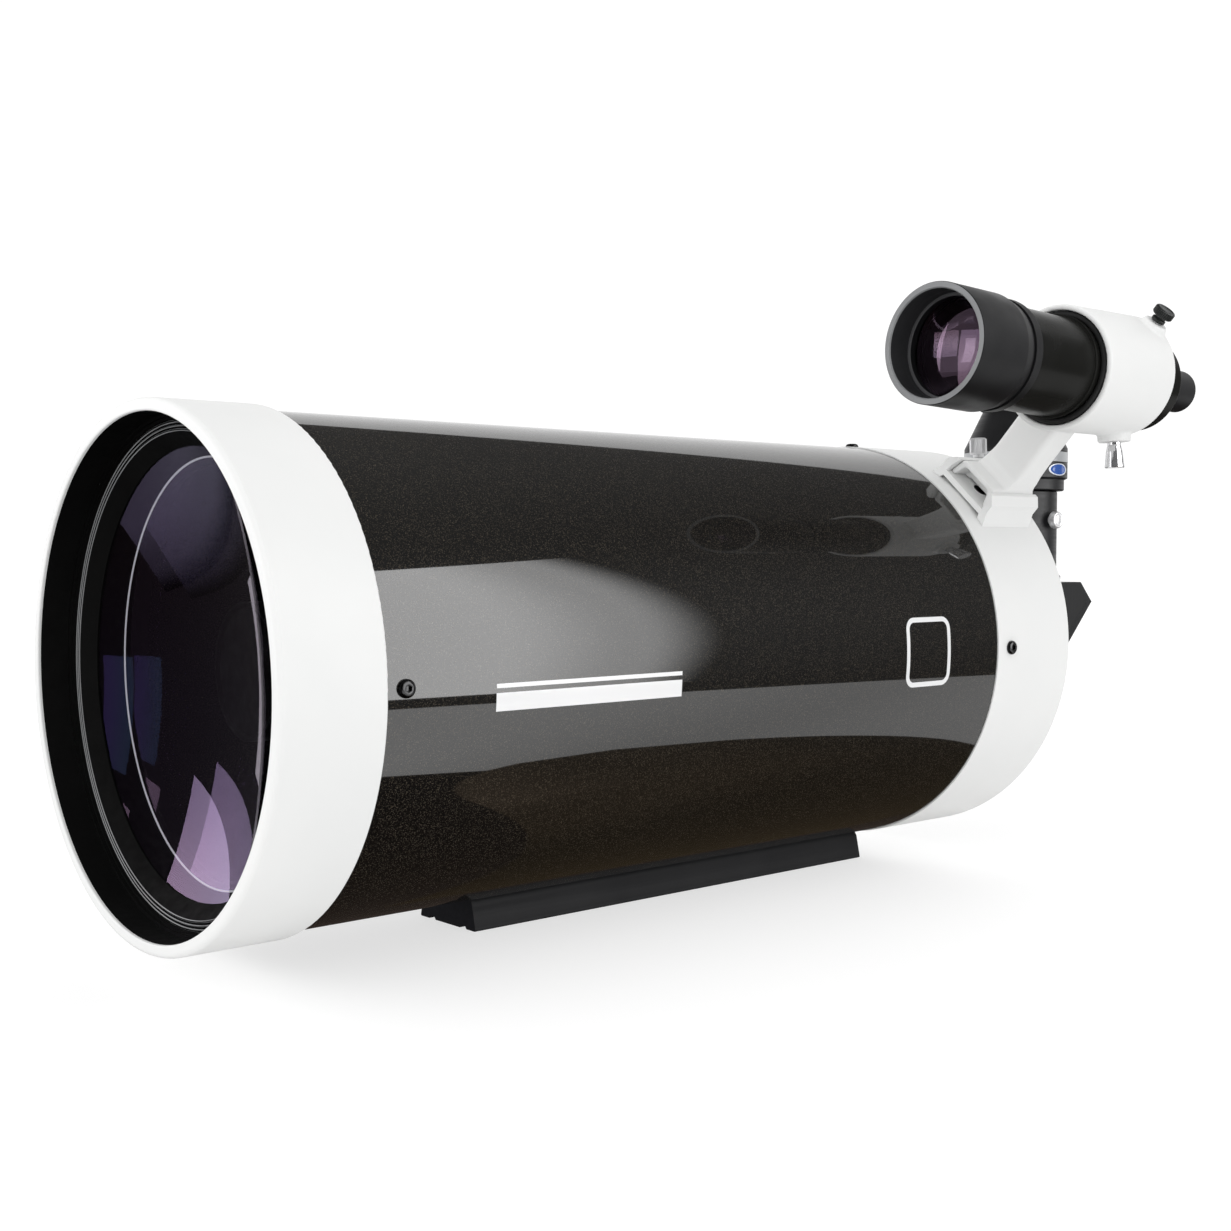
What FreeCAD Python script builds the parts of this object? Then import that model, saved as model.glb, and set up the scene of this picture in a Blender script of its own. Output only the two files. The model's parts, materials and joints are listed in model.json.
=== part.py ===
import FreeCAD, Part
import math
import os

from FreeCAD import Placement, Rotation, Vector

# A 180 mm Maksutov-Cassegrain telescope with its finder, diagonal and eyepiece, in millimetres.
# Row frame: +X along the optical axis from the sky end to the eyepiece end, +Z up, origin at the
# centre of the dovetail bar's flat bottom face.
# Most sub-parts are drawn in the optical frame: x from the front rim, y, and z from the optical axis.
# The shoe and bracket are drawn upright above the optical axis and then turned about it.
# The finder's own pieces are drawn along their axis, from the centre of the O-ring they tilt in.

# ---- driving dimensions -------------------------------------------------------------------
DOVETAIL_LENGTH = 262.0
DOVETAIL_BOTTOM_HALF = 21.4
DOVETAIL_TOP_HALF = 18.9
DOVETAIL_HEIGHT = 12.8
FRONT_TO_DOVETAIL_MIDDLE = 277.0

TUBE_RADIUS = 107.0
TUBE_WALL = 1.6
TUBE_START = 24.2
TUBE_END = 412.8
AXIS_HEIGHT = TUBE_RADIUS + DOVETAIL_HEIGHT

RING_RADIUS = 109.3
RING_LENGTH = 44.1
APERTURE_RADIUS = 104.0

LENS_RADIUS = 92.0
LENS_EDGE_FRONT = 22.5
LENS_EDGE_THICKNESS = 19.9
LENS_FRONT_CURVE = 250.0
LENS_REAR_CURVE = 258.4

CELL_RADIUS = 107.6
CELL_START = 413.2
CELL_END = 478.0
CELL_PLATE = 10.0
CELL_HOLLOW_RADIUS = 103.0

MIRROR_RADIUS = 93.0
MIRROR_THICK = 21.8
MIRROR_BACK = 429.8
MIRROR_CURVE = 800.0
BAFFLE_RADIUS = 23.5
BAFFLE_WALL = 2.0
BAFFLE_START = 208.0
BAFFLE_FLANGE_RADIUS = 26.9
HUB_RADIUS = 34.0
HUB_BORE = 27.0
HUB_END = 489.0

FOCUS_Y = 50.0
FOCUS_Z = -38.0
FOCUS_SCREW_RADIUS = 3.0
FOCUS_SHAFT_RADIUS = 4.0
GRIP_RADIUS = 19.5
GRIP_FLUTES = 24

SCREW_ANGLES = (0, 90, 180, 270)
FRONT_SCREW_X = 53.0
REAR_SCREW_X = 423.7
COLLIMATION_CIRCLE = 82.0
COLLIMATION_TRIOS = (90, 210, 330)
COLLIMATION_APART = 6
M5_RADIUS = 2.5
M5_HEAD_RADIUS = 4.4

VISUAL_BACK_END = 537.0
NOSE_RADIUS = 25.4
DIAGONAL_X = 580.5
DIAGONAL_HALF = 30.0
HOLDER_RADIUS = 25.5
HOLDER_TOP = 86.5
HOLDER_SCREW_HEIGHT = 68.5
BARREL_RADIUS = 15.85

SHOE_ANGLE = 47.4
SHOE_START = 425.5
SHOE_END = 467.0
SHOE_SCREW_X = 450.0
FOOT_START = 429.0
FOOT_END = 466.0

SLEEVE_CENTRE = 192.5
SLEEVE_START = 426.0
SLEEVE_END = 486.5
SLEEVE_RADIUS = 31.6
SLEEVE_BORE = 28.7
ADJUSTER_X = 481.0
PLUNGER_X = 478.5

FINDER_TUBE_RADIUS = 25.0
FINDER_FRONT = -71.0
FINDER_REAR = 76.5
FINDER_BARREL_RADIUS = 11.35
FINDER_BARREL_END = 116.0
FINDER_CELL_RADIUS = 28.46
FINDER_TILT = 2.2
ORING_X = 427.5
ORING_RADIUS = 26.85
ORING_THICKNESS = 1.5

RUNNING = 0.05
CLEAR = 0.3

M4_RADIUS = 2.0
NODES = {}

X_AXIS = Vector(1, 0, 0)
Y_AXIS = Vector(0, 1, 0)
Z_AXIS = Vector(0, 0, 1)
ORIGIN = Vector(0, 0, 0)


# ---- shape helpers ------------------------------------------------------------------------
def spun(points):
    """A solid turned about the X axis from (x, radius) points."""
    corners = [Vector(x, 0, r) for x, r in points]
    face = Part.Face(Part.makePolygon(corners + corners[:1]))
    return face.revolve(ORIGIN, X_AXIS, 360)


def tube(start, end, outer, inner):
    """A plain round tube along X."""
    return spun([(start, inner), (end, inner), (end, outer), (start, outer)])


def rod(start, end, radius):
    """A plain round bar along X."""
    return Part.makeCylinder(radius, end - start, Vector(start, 0, 0), X_AXIS)


def prism(points, start, end):
    """A bar along X from an outline of (y, z) points."""
    corners = [Vector(start, y, z) for y, z in points]
    face = Part.Face(Part.makePolygon(corners + corners[:1]))
    return face.extrude(Vector(end - start, 0, 0))


def side_prism(points, half_width):
    """A bar along Y from an outline of (x, z) points."""
    corners = [Vector(x, -half_width, z) for x, z in points]
    face = Part.Face(Part.makePolygon(corners + corners[:1]))
    return face.extrude(Vector(0, 2 * half_width, 0))


def block(low, high):
    """A box between two corners."""
    size = [b - a for a, b in zip(low, high)]
    return Part.makeBox(*size, Vector(*low))


def aimed(shape, origin, direction):
    """Moves a shape drawn along +X so that it starts at origin and points in direction."""
    placed = shape.copy()
    placed.Placement = Placement(Vector(*origin), Rotation(X_AXIS, Vector(*direction)))
    return placed


def hexagon(across_flats, start, end):
    """A hexagonal bar along X."""
    corner = across_flats / math.sqrt(3)
    turns = [math.radians(60 * k) for k in range(6)]
    return prism([(corner * math.cos(a), corner * math.sin(a)) for a in turns], start, end)


def rounded(shape, radius, chosen):
    """Rounds the edges that chosen accepts."""
    edges = [edge for edge in shape.Edges if chosen(edge)]
    return shape.makeFillet(radius, edges)


def ring_edge(x, radius):
    """Accepts the circle of this radius about the X axis at x."""
    def chosen(edge):
        box = edge.BoundBox
        return abs(box.XMin - x) < 0.01 and abs(box.XMax - x) < 0.01 and abs(box.ZMax - radius) < 0.01
    return chosen


def joined(shapes):
    """Fuses shapes that make one solid piece."""
    whole = shapes[0].multiFuse(shapes[1:])
    return whole.removeSplitter()


def radial(angle):
    """The unit vector across the optical axis at an angle from +Y towards +Z."""
    turn = math.radians(angle)
    return Vector(0, math.cos(turn), math.sin(turn))


# ---- placing in the row frame -------------------------------------------------------------
OPTICAL = Placement(Vector(-FRONT_TO_DOVETAIL_MIDDLE, 0, AXIS_HEIGHT), Rotation())
BRACKET = OPTICAL.multiply(Placement(ORIGIN, Rotation(X_AXIS, 90 - SHOE_ANGLE)))
SLEEVE = BRACKET.multiply(Placement(Vector(0, 0, SLEEVE_CENTRE), Rotation()))
FINDER_PIVOT = SLEEVE.multVec(Vector(ORING_X, 0, 0))
FINDER = Placement(FINDER_PIVOT, Rotation(Y_AXIS, FINDER_TILT))


def keep(name, shape, frame):
    """Keeps one node, placed in the row frame."""
    placed = shape.copy()
    placed.Placement = frame.multiply(placed.Placement)
    NODES[name] = placed


def keep_group(name, shapes, frame):
    """Keeps identical fasteners as one node of separate solids."""
    keep(name, Part.makeCompound(shapes), frame)


# ---- fasteners ----------------------------------------------------------------------------
def button_screw(shank_length):
    """A button-head socket screw along +X, its head above x = 0 and its shank below."""
    head = spun([(0, 0), (0, 3.6), (0.6, 3.6), (1.6, 2.8), (2.1, 1.8), (2.1, 0)])
    shank = rod(-shank_length, 0, M4_RADIUS)
    return joined([head, shank]).cut(hexagon(2.5, 0.7, 2.2))


def socket_screw(shank_radius, shank_length, head_radius, head_length, key):
    """A cap screw along +X, its head above x = 0 and its shank below."""
    head = rod(0, head_length, head_radius)
    shank = rod(-shank_length, 0, shank_radius)
    return joined([head, shank]).cut(hexagon(key, head_length / 2, head_length + 0.1))


def countersunk_screw(shank_radius, shank_length, head_radius, head_length):
    """A flat-head socket screw along +X, its head's top at x = 0."""
    head = spun([(-head_length, 0), (-head_length, shank_radius), (0, head_radius), (0, 0)])
    shank = rod(-shank_length, -head_length, shank_radius)
    return joined([head, shank]).cut(hexagon(shank_radius * 1.1, -head_length * 0.7, 0.1))


def around(shape, x, radius, angles):
    """Copies of a screw drawn along +X, pointing out from the optical axis at each angle."""
    places = [Vector(x, 0, 0) + radial(a) * radius for a in angles]
    return [aimed(shape, place, radial(a)) for place, a in zip(places, angles)]


def holes_around(x, radius, angles):
    """Round cutters across the optical axis at each angle."""
    bar = rod(90, 112, radius)
    return [aimed(bar, (x, 0, 0), radial(a)) for a in angles]


def thumb_head(start, radius, length):
    """A knurled thumb-screw head along +X with chamfered rims."""
    end = start + length
    return spun([(start, 0), (start, radius - 0.6), (start + 0.6, radius), (end - 0.6, radius),
                 (end, radius - 0.6), (end, 0)])


# ---- front of the tube --------------------------------------------------------------------
def front_ring():
    """The white ring round the aperture, thinner where it overlaps the tube."""
    outline = [(0, APERTURE_RADIUS), (1.5, APERTURE_RADIUS), (1.5, 105.6), (24.1, 105.6),
               (24.1, TUBE_RADIUS + RUNNING), (RING_LENGTH, TUBE_RADIUS + RUNNING),
               (RING_LENGTH, RING_RADIUS), (0, RING_RADIUS)]
    ring = spun(outline)
    ring = rounded(ring, 2.2, ring_edge(0, RING_RADIUS))
    ring = rounded(ring, 0.8, ring_edge(0, APERTURE_RADIUS))
    return rounded(ring, 0.7, ring_edge(RING_LENGTH, RING_RADIUS))


def corrector_cell():
    """The stepped seat for the corrector, with a skirt that slides into the tube."""
    skirt = TUBE_RADIUS - TUBE_WALL - 0.1
    outline = [(1.6, APERTURE_RADIUS), (13.5, APERTURE_RADIUS), (13.5, 102.7), (15, 102.7), (15, 101.6),
               (22.6, 101.6), (22.6, LENS_RADIUS + CLEAR), (43.8, LENS_RADIUS + CLEAR), (43.8, 88.5),
               (47, 88.5), (47, 96.5), (29, 96.5), (29, 101.8), (60, 101.8), (60, skirt), (24, skirt),
               (24, 105.5), (1.6, 105.5)]
    return spun(outline).cut(Part.makeCompound(holes_around(FRONT_SCREW_X, M4_RADIUS + RUNNING,
                                                            SCREW_ANGLES)))


def corrector_retaining_ring():
    """The threaded ring that holds the corrector, with two grip ridges and a sloping inner face."""
    outline = [(22.3, 101.5), (16, 101.5), (16, 100.6), (16.6, 100.2), (16, 99.8), (16, 98.9), (16.6, 98.5),
               (16, 98.1), (16.4, 97.2), (17.5, 95.3), (21.8, 91.2), (22.3, 91.2)]
    return spun(outline)


def sagitta(curve, radius):
    """How deep a sphere of radius curve is at this distance from its axis."""
    return curve - math.sqrt(curve * curve - radius * radius)


def meniscus(edge_front, edge_thickness, radius, front_curve, rear_curve):
    """A round lens hollow towards -X at the front and bulging towards +X at the back."""
    front_middle = edge_front + sagitta(front_curve, radius)
    front_half = front_middle - sagitta(front_curve, radius / 2)
    edge_rear = edge_front + edge_thickness
    rear_middle = edge_rear + sagitta(rear_curve, radius)
    rear_half = rear_middle - sagitta(rear_curve, radius / 2)
    front = Part.Arc(Vector(front_middle, 0, 0), Vector(front_half, 0, radius / 2),
                     Vector(edge_front, 0, radius)).toShape()
    rim = Part.makeLine(Vector(edge_front, 0, radius), Vector(edge_rear, 0, radius))
    rear = Part.Arc(Vector(edge_rear, 0, radius), Vector(rear_half, 0, radius / 2),
                    Vector(rear_middle, 0, 0)).toShape()
    axis = Part.makeLine(Vector(rear_middle, 0, 0), Vector(front_middle, 0, 0))
    return Part.Face(Part.Wire([front, rim, rear, axis])).revolve(ORIGIN, X_AXIS, 360)


def corrector_lens():
    return meniscus(LENS_EDGE_FRONT, LENS_EDGE_THICKNESS, LENS_RADIUS, LENS_FRONT_CURVE, LENS_REAR_CURVE)


def secondary_baffle():
    """The short cone behind the corrector that shades the secondary mirror."""
    return spun([(59.8, 0), (59.8, 27.5), (58.4, 29), (58.4, 30.2), (92, 31.5), (92, 30.7), (62, 29.2),
                 (61.5, 0)])


def secondary_mirror():
    """A thin disc carried by the secondary baffle."""
    return spun([(62.2, 0), (62.2, 28.5), (66, 28.5), (66.6, 0)])


def front_of_tube():
    keep("front_ring", front_ring(), OPTICAL)
    keep("corrector_cell", corrector_cell(), OPTICAL)
    keep("corrector_retaining_ring", corrector_retaining_ring(), OPTICAL)
    keep("corrector_lens", corrector_lens(), OPTICAL)
    keep("secondary_baffle", secondary_baffle(), OPTICAL)
    keep("secondary_mirror", secondary_mirror(), OPTICAL)
    screws = around(button_screw(5), FRONT_SCREW_X, TUBE_RADIUS, SCREW_ANGLES)
    keep_group("front_screws", screws, OPTICAL)


# ---- tube, rear cell and dovetail ---------------------------------------------------------
def dovetail_screw_places():
    """Where the four dovetail screws stand along the bar, in the row frame."""
    return [(x, 0, 0) for x in (-105, -65, 65, 105)]


def main_tube():
    """The lacquered tube, drilled for the front screws and the dovetail's screws."""
    shell = tube(TUBE_START, TUBE_END, TUBE_RADIUS, TUBE_RADIUS - TUBE_WALL)
    holes = holes_around(FRONT_SCREW_X, M4_RADIUS + 0.2, SCREW_ANGLES)
    for x, _, _ in dovetail_screw_places():
        holes.append(aimed(rod(90, 112, M5_RADIUS + 0.1), (x + FRONT_TO_DOVETAIL_MIDDLE, 0, 0), (0, 0, -1)))
    return shell.cut(Part.makeCompound(holes))


def joint_ring():
    """The spigot ring inside the joint of the tube and the rear cell."""
    ring = tube(396, 431, TUBE_RADIUS - TUBE_WALL - 0.1, 101.5)
    return ring.cut(Part.makeCompound(holes_around(REAR_SCREW_X, M4_RADIUS + RUNNING, SCREW_ANGLES)))


def collimation_places():
    """Three pairs of a push and a pull screw on one circle of the rear plate."""
    sides = (-COLLIMATION_APART, COLLIMATION_APART)
    return [radial(centre + side) * COLLIMATION_CIRCLE for centre in COLLIMATION_TRIOS for side in sides]


def shoe_screw_places():
    """The (x, y) of the two screws under the finder's shoe."""
    return [(440, 0), (461, 0)]


def rear_cell():
    """The white rear casting: a cup with a thick back plate, a hub and a dished outer face."""
    plate_start = CELL_END - CELL_PLATE
    outline = [(CELL_START, TUBE_RADIUS - TUBE_WALL + RUNNING), (432, TUBE_RADIUS - TUBE_WALL + RUNNING),
               (432, CELL_HOLLOW_RADIUS), (plate_start, CELL_HOLLOW_RADIUS), (plate_start, HUB_BORE),
               (HUB_END, HUB_BORE), (HUB_END, HUB_RADIUS), (CELL_END + 0.6, HUB_RADIUS),
               (CELL_END - 1.6, 40), (CELL_END - 1.6, 96), (CELL_END, 99), (CELL_END, CELL_RADIUS),
               (CELL_START, CELL_RADIUS)]
    cell = rounded(spun(outline), 2.6, ring_edge(CELL_END, CELL_RADIUS))
    cutters = holes_around(REAR_SCREW_X, M4_RADIUS + 0.2, SCREW_ANGLES)
    for place in collimation_places():
        cutters.append(aimed(rod(460, 480, M5_RADIUS + RUNNING), place, X_AXIS))
        cutters.append(aimed(rod(471.4, 480, M5_HEAD_RADIUS + 0.2), place, X_AXIS))
    cutters.append(aimed(rod(460, 480, 10.0), (0, FOCUS_Y, FOCUS_Z), X_AXIS))
    under_shoe = Placement(ORIGIN, Rotation(X_AXIS, 90 - SHOE_ANGLE))
    for x, y in shoe_screw_places():
        hole = aimed(rod(98, 110, M4_RADIUS + RUNNING), (x, y, 0), Z_AXIS)
        hole.Placement = under_shoe.multiply(hole.Placement)
        cutters.append(hole)
    return cell.cut(Part.makeCompound(cutters))


def dovetail_bar():
    """The mounting bar: leaning flanks, two shallow grooves below and a saddle for the tube above."""
    half, top = DOVETAIL_BOTTOM_HALF, DOVETAIL_TOP_HALF
    right = [(0, 0), (9.5, 0), (10.5, 1.4), (13.5, 1.4), (14.5, 0), (half - 0.5, 0), (half, 0.5),
             (top, 11.9), (17.2, 14.6), (0, 14.6)]
    left = [(-y, z) for y, z in reversed(right[1:-1])]
    bar = prism(right + left, -DOVETAIL_LENGTH / 2, DOVETAIL_LENGTH / 2)
    seat = Part.makeCylinder(TUBE_RADIUS + RUNNING, 400, Vector(-200, 0, AXIS_HEIGHT), X_AXIS)
    bar = bar.cut(seat)
    for place in dovetail_screw_places():
        bar = bar.cut(aimed(rod(-1, 20, M5_RADIUS + 0.1), place, Z_AXIS))
        bar = bar.cut(aimed(rod(-1, 5.6, M5_HEAD_RADIUS + CLEAR), place, Z_AXIS))
    return bar


def dovetail_screws():
    """Cap screws sunk into the bar from below."""
    screw = socket_screw(M5_RADIUS, 14.5, M5_HEAD_RADIUS, 5.0, 4.0)
    return [aimed(screw, (x, y, z + 5.5), (0, 0, -1)) for x, y, z in dovetail_screw_places()]


def dovetail_nut_strips():
    """Two thick strips inside the tube that the dovetail's screws thread into."""
    wall = TUBE_RADIUS - TUBE_WALL - RUNNING
    strips = []
    for middle in (-85, 85):
        strip = block((middle - 32, -11, AXIS_HEIGHT - 108), (middle + 32, 11, AXIS_HEIGHT - 99.5))
        strip = strip.common(Part.makeCylinder(wall, 400, Vector(-200, 0, AXIS_HEIGHT), X_AXIS))
        for place in dovetail_screw_places():
            strip = strip.cut(aimed(rod(-1, 30, M5_RADIUS + RUNNING), place, Z_AXIS))
        strips.append(strip)
    return strips


def tube_and_rear():
    keep("main_tube", main_tube(), OPTICAL)
    keep("joint_ring", joint_ring(), OPTICAL)
    keep("rear_cell", rear_cell(), OPTICAL)
    screws = around(button_screw(5.5), REAR_SCREW_X, CELL_RADIUS, SCREW_ANGLES)
    keep_group("rear_screws", screws, OPTICAL)
    screw = socket_screw(M5_RADIUS, 9, M5_HEAD_RADIUS, 4.5, 3)
    adjusters = [aimed(screw, place + Vector(471.6, 0, 0), X_AXIS) for place in collimation_places()]
    keep_group("collimation_screws", adjusters, OPTICAL)
    keep("dovetail_bar", dovetail_bar(), Placement())
    keep_group("dovetail_screws", dovetail_screws(), Placement())
    keep_group("dovetail_nut_strips", dovetail_nut_strips(), Placement())


# ---- primary mirror and focuser -----------------------------------------------------------
def baffle_tube():
    """The long tube the mirror slides on, with a flange against the rear plate's inner face."""
    bore = BAFFLE_RADIUS - BAFFLE_WALL
    flange_end = CELL_END - CELL_PLATE - 0.1
    flange_start = flange_end - 4.9
    flange = HUB_RADIUS - 1
    return spun([(BAFFLE_START, bore), (484, bore), (484, BAFFLE_FLANGE_RADIUS),
                 (flange_end, BAFFLE_FLANGE_RADIUS), (flange_end, flange), (flange_start, flange),
                 (flange_start, BAFFLE_RADIUS), (BAFFLE_START, BAFFLE_RADIUS)])


def primary_mirror():
    """A thick disc with a central hole and a shallow hollow front."""
    hole = 27.4
    edge_x = MIRROR_BACK - MIRROR_THICK
    middle = (hole + MIRROR_RADIUS) / 2
    deepest = edge_x + sagitta(MIRROR_CURVE, MIRROR_RADIUS)

    def on_face(radius):
        return Vector(deepest - sagitta(MIRROR_CURVE, radius), 0, radius)

    corners = [Vector(MIRROR_BACK, 0, MIRROR_RADIUS), Vector(MIRROR_BACK, 0, hole)]
    face = Part.Arc(on_face(hole), on_face(middle), on_face(MIRROR_RADIUS)).toShape()
    sides = [Part.makeLine(on_face(MIRROR_RADIUS), corners[0]), Part.makeLine(corners[0], corners[1]),
             Part.makeLine(corners[1], on_face(hole))]
    return Part.Face(Part.Wire([face] + sides)).revolve(ORIGIN, X_AXIS, 360)


def mirror_carrier():
    """The sleeve that slides on the baffle tube, with the plate the mirror sits on."""
    bore = BAFFLE_RADIUS + RUNNING
    plate = spun([(398, bore), (455, bore), (455, 27), (436, 27), (436, 88), (430, 88), (430, 27), (398, 27)])
    return plate.cut(aimed(rod(425, 440, 5), (0, FOCUS_Y, FOCUS_Z), X_AXIS))


def focus_parts():
    """The nut that rides on the mirror's carrier and the screw, bush and knob that drive it."""
    keep("focus_nut", aimed(tube(436.1, 450, 9, FOCUS_SCREW_RADIUS + RUNNING), (0, FOCUS_Y, FOCUS_Z), X_AXIS),
         OPTICAL)
    shaft = FOCUS_SHAFT_RADIUS
    screw = joined([rod(439, 458, FOCUS_SCREW_RADIUS), rod(458, 464, 7), rod(464, 494, shaft)])
    bush = spun([(464.5, shaft + RUNNING), (482, shaft + RUNNING), (482, 15), (478.1, 15), (478.1, 9.9),
                 (464.5, 9.9)])
    socket = shaft + 0.02
    knob = spun([(484, socket), (494.2, socket), (494.2, 0), (509, 0), (509, 13), (507.5, 16), (487, 16),
                 (484, 12)])
    groove = rod(480, 515, 1.2)
    grooves = [aimed(groove, radial(360.0 * k / GRIP_FLUTES) * (GRIP_RADIUS + 0.7), X_AXIS)
               for k in range(GRIP_FLUTES)]
    grip = tube(488.5, 506.5, GRIP_RADIUS, 16.1).cut(Part.makeCompound(grooves))
    for name, shape in (("focus_screw", screw), ("focus_bush", bush), ("focus_knob", knob),
                        ("focus_knob_grip", grip)):
        keep(name, aimed(shape, (0, FOCUS_Y, FOCUS_Z), X_AXIS), OPTICAL)


def primary_and_focus():
    keep("baffle_tube", baffle_tube(), OPTICAL)
    keep("primary_mirror", primary_mirror(), OPTICAL)
    keep("mirror_carrier", mirror_carrier(), OPTICAL)
    keep("mirror_retaining_ring", spun([(405, 27.1), (412.2, 27.1), (412.2, 33), (409, 33), (405, 30)]),
         OPTICAL)
    focus_parts()


# ---- visual back --------------------------------------------------------------------------
VISUAL_SCREW_X = 520.0
VISUAL_SCREW_ANGLE = 60


def visual_back():
    """The turning adapter that takes the nosepiece, with a groove for its clamp ring and a screw boss."""
    body = spun([(HUB_END + 0.1, 23), (493, 23), (493, NOSE_RADIUS + RUNNING), (516, NOSE_RADIUS + RUNNING),
                 (516, 27.3), (524, 27.3), (524, NOSE_RADIUS + RUNNING),
                 (VISUAL_BACK_END, NOSE_RADIUS + RUNNING), (VISUAL_BACK_END, 29.4),
                 (VISUAL_BACK_END - 0.8, 30.2), (500, 30.2), (494, 30.2), (492, 33.4),
                 (HUB_END + 0.1, 33.4)])
    boss = aimed(rod(26, 33, 5.5), (VISUAL_SCREW_X, 0, 0), radial(VISUAL_SCREW_ANGLE))
    boss = boss.cut(rod(500, 540, 29.0))
    hole = aimed(rod(20, 40, M4_RADIUS + RUNNING), (VISUAL_SCREW_X, 0, 0), radial(VISUAL_SCREW_ANGLE))
    return joined([body, boss]).cut(hole)


def slip_ring():
    """The collar that holds the visual back against the hub and lets it turn."""
    return spun([(479.5, HUB_RADIUS + RUNNING), (492.2, HUB_RADIUS + RUNNING), (496, 30.4), (497.4, 30.4),
                 (497.4, 35.5), (494.5, 38.4), (481, 38.4), (479.5, 36.9)])


def plain_thumb_screw(tip, seat, head_radius, head_length):
    """A thumb screw along +X: its tip, the surface it screws into, and its head."""
    stem = rod(tip, seat + 2.0, M4_RADIUS)
    collar = rod(seat + CLEAR, seat + 2.0, 2.9)
    head = thumb_head(seat + 2.0, head_radius, head_length)
    return joined([stem, collar, head])


def visual_back_parts():
    keep("slip_ring", slip_ring(), OPTICAL)
    keep("visual_back", visual_back(), OPTICAL)
    keep("visual_back_clamp_ring", tube(516.3, 523.7, 26.9, NOSE_RADIUS + RUNNING), OPTICAL)
    screw = plain_thumb_screw(27.0, 33.0, 5.5, 7.0)
    keep("visual_back_thumb_screw", aimed(screw, (VISUAL_SCREW_X, 0, 0), radial(VISUAL_SCREW_ANGLE)), OPTICAL)


# ---- diagonal -----------------------------------------------------------------------------
PLATE_OUTER = 23.0
PLATE_THICKNESS = 4.0
MIRROR_THICKNESS = 9.0
MIRROR_LOW = -27.5
MIRROR_HIGH = 29.5
MIRROR_HALF_WIDTH = 23.6
DIAGONAL_BORE = 22.5


def sloped_slab(front, back, low, high, half_width):
    """A slab at 45 degrees, its faces at x - z = front and back, running from low to high up the slope."""
    slope = math.sqrt(0.5)
    along = Vector(slope, 0, slope)
    normal = Vector(slope, 0, -slope)
    corners = []
    for offset, end in ((front, low), (front, high), (back, high), (back, low)):
        corners.append(normal * (offset * slope) + along * end)
    return side_prism([(c.x, c.z) for c in corners], half_width)


def diagonal_outline(limit):
    """The side outline of the diagonal's body, closed by the slope x - z = limit."""
    half = DIAGONAL_HALF
    chamfer_sum = 58.0
    corner = ((chamfer_sum + limit) / 2, (chamfer_sum - limit) / 2)
    return [(-half, -half), (limit - half, -half), corner, (chamfer_sum - half, half), (-half, half)]


def plate_screw_places():
    """Where the four screws of the back plate stand on its sloping face."""
    slope = math.sqrt(0.5)
    base = Vector(slope, 0, -slope) * (PLATE_OUTER * slope)
    return [base + Vector(slope, 0, slope) * along + Vector(0, across, 0)
            for along in (-21.5, 36.0) for across in (-27.2, 27.2)]


def diagonal_housing():
    """The mirror box: two round ways that meet at a right angle and a recess for the mirror."""
    inner_face = PLATE_OUTER - PLATE_THICKNESS * math.sqrt(2)
    body = side_prism(diagonal_outline(inner_face), DIAGONAL_HALF)
    body = body.cut(rod(-31, 0, DIAGONAL_BORE))
    body = body.cut(aimed(rod(0, 31, DIAGONAL_BORE), (0, 0, 0), Z_AXIS))
    body = body.cut(Part.makeSphere(DIAGONAL_BORE))
    body = body.cut(sloped_slab(-0.4, inner_face + 0.1, MIRROR_LOW - 0.6, MIRROR_HIGH + 0.6,
                                MIRROR_HALF_WIDTH + 0.6))
    holes = [aimed(rod(-14, 1, 1.55), place, (1, 0, -1)) for place in plate_screw_places()]
    return body.cut(Part.makeCompound(holes))


def diagonal_back_plate():
    """The sloping cover behind the mirror, countersunk for its screws."""
    inner_face = PLATE_OUTER - PLATE_THICKNESS * math.sqrt(2)
    plate = side_prism(diagonal_outline(PLATE_OUTER), DIAGONAL_HALF)
    plate = plate.cut(side_prism([(-60, -60 - inner_face - 0.1), (60, 60 - inner_face - 0.1), (-60, 60)],
                                 DIAGONAL_HALF + 1))
    for place in plate_screw_places():
        plate = plate.cut(aimed(rod(-14, 1, 1.6), place, (1, 0, -1)))
        cone = spun([(-1.6, 0), (-1.6, 1.6), (0.1, 3.0), (0.1, 0)])
        plate = plate.cut(aimed(cone, place, (1, 0, -1)))
    return plate


def diagonal_nosepiece():
    """The two-inch nose that slides into the visual back."""
    front = DIAGONAL_X - DIAGONAL_HALF
    shoulder = VISUAL_BACK_END + CLEAR
    return spun([(493.6, 23), (front - 0.05, 23), (front - 0.05, 29.6), (541, 29.6), (shoulder, 28),
                 (shoulder, NOSE_RADIUS), (494.4, NOSE_RADIUS), (493.6, 24.8)])


def upright(shape):
    """Turns a shape drawn along +X to stand on the eyepiece axis, with x as height."""
    return aimed(shape, (DIAGONAL_X, 0, 0), Z_AXIS)


def eyepiece_holder():
    """The stepped barrel that takes the eyepiece, drilled for two thumb screws."""
    bottom, top, bore = DIAGONAL_HALF + 0.05, HOLDER_TOP, BARREL_RADIUS + RUNNING
    body = spun([(bottom, 14), (50, 14), (50, bore), (top, bore), (top, HOLDER_RADIUS - 0.6),
                 (top - 0.6, HOLDER_RADIUS), (35, HOLDER_RADIUS), (34, 28), (bottom, 28)])
    hole = rod(10, 40, M4_RADIUS + RUNNING)
    body = body.cut(aimed(hole, (HOLDER_SCREW_HEIGHT, 0, 0), Y_AXIS * -1))
    body = body.cut(aimed(hole, (HOLDER_SCREW_HEIGHT, 0, 0), Z_AXIS * -1))
    return upright(body)


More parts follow.
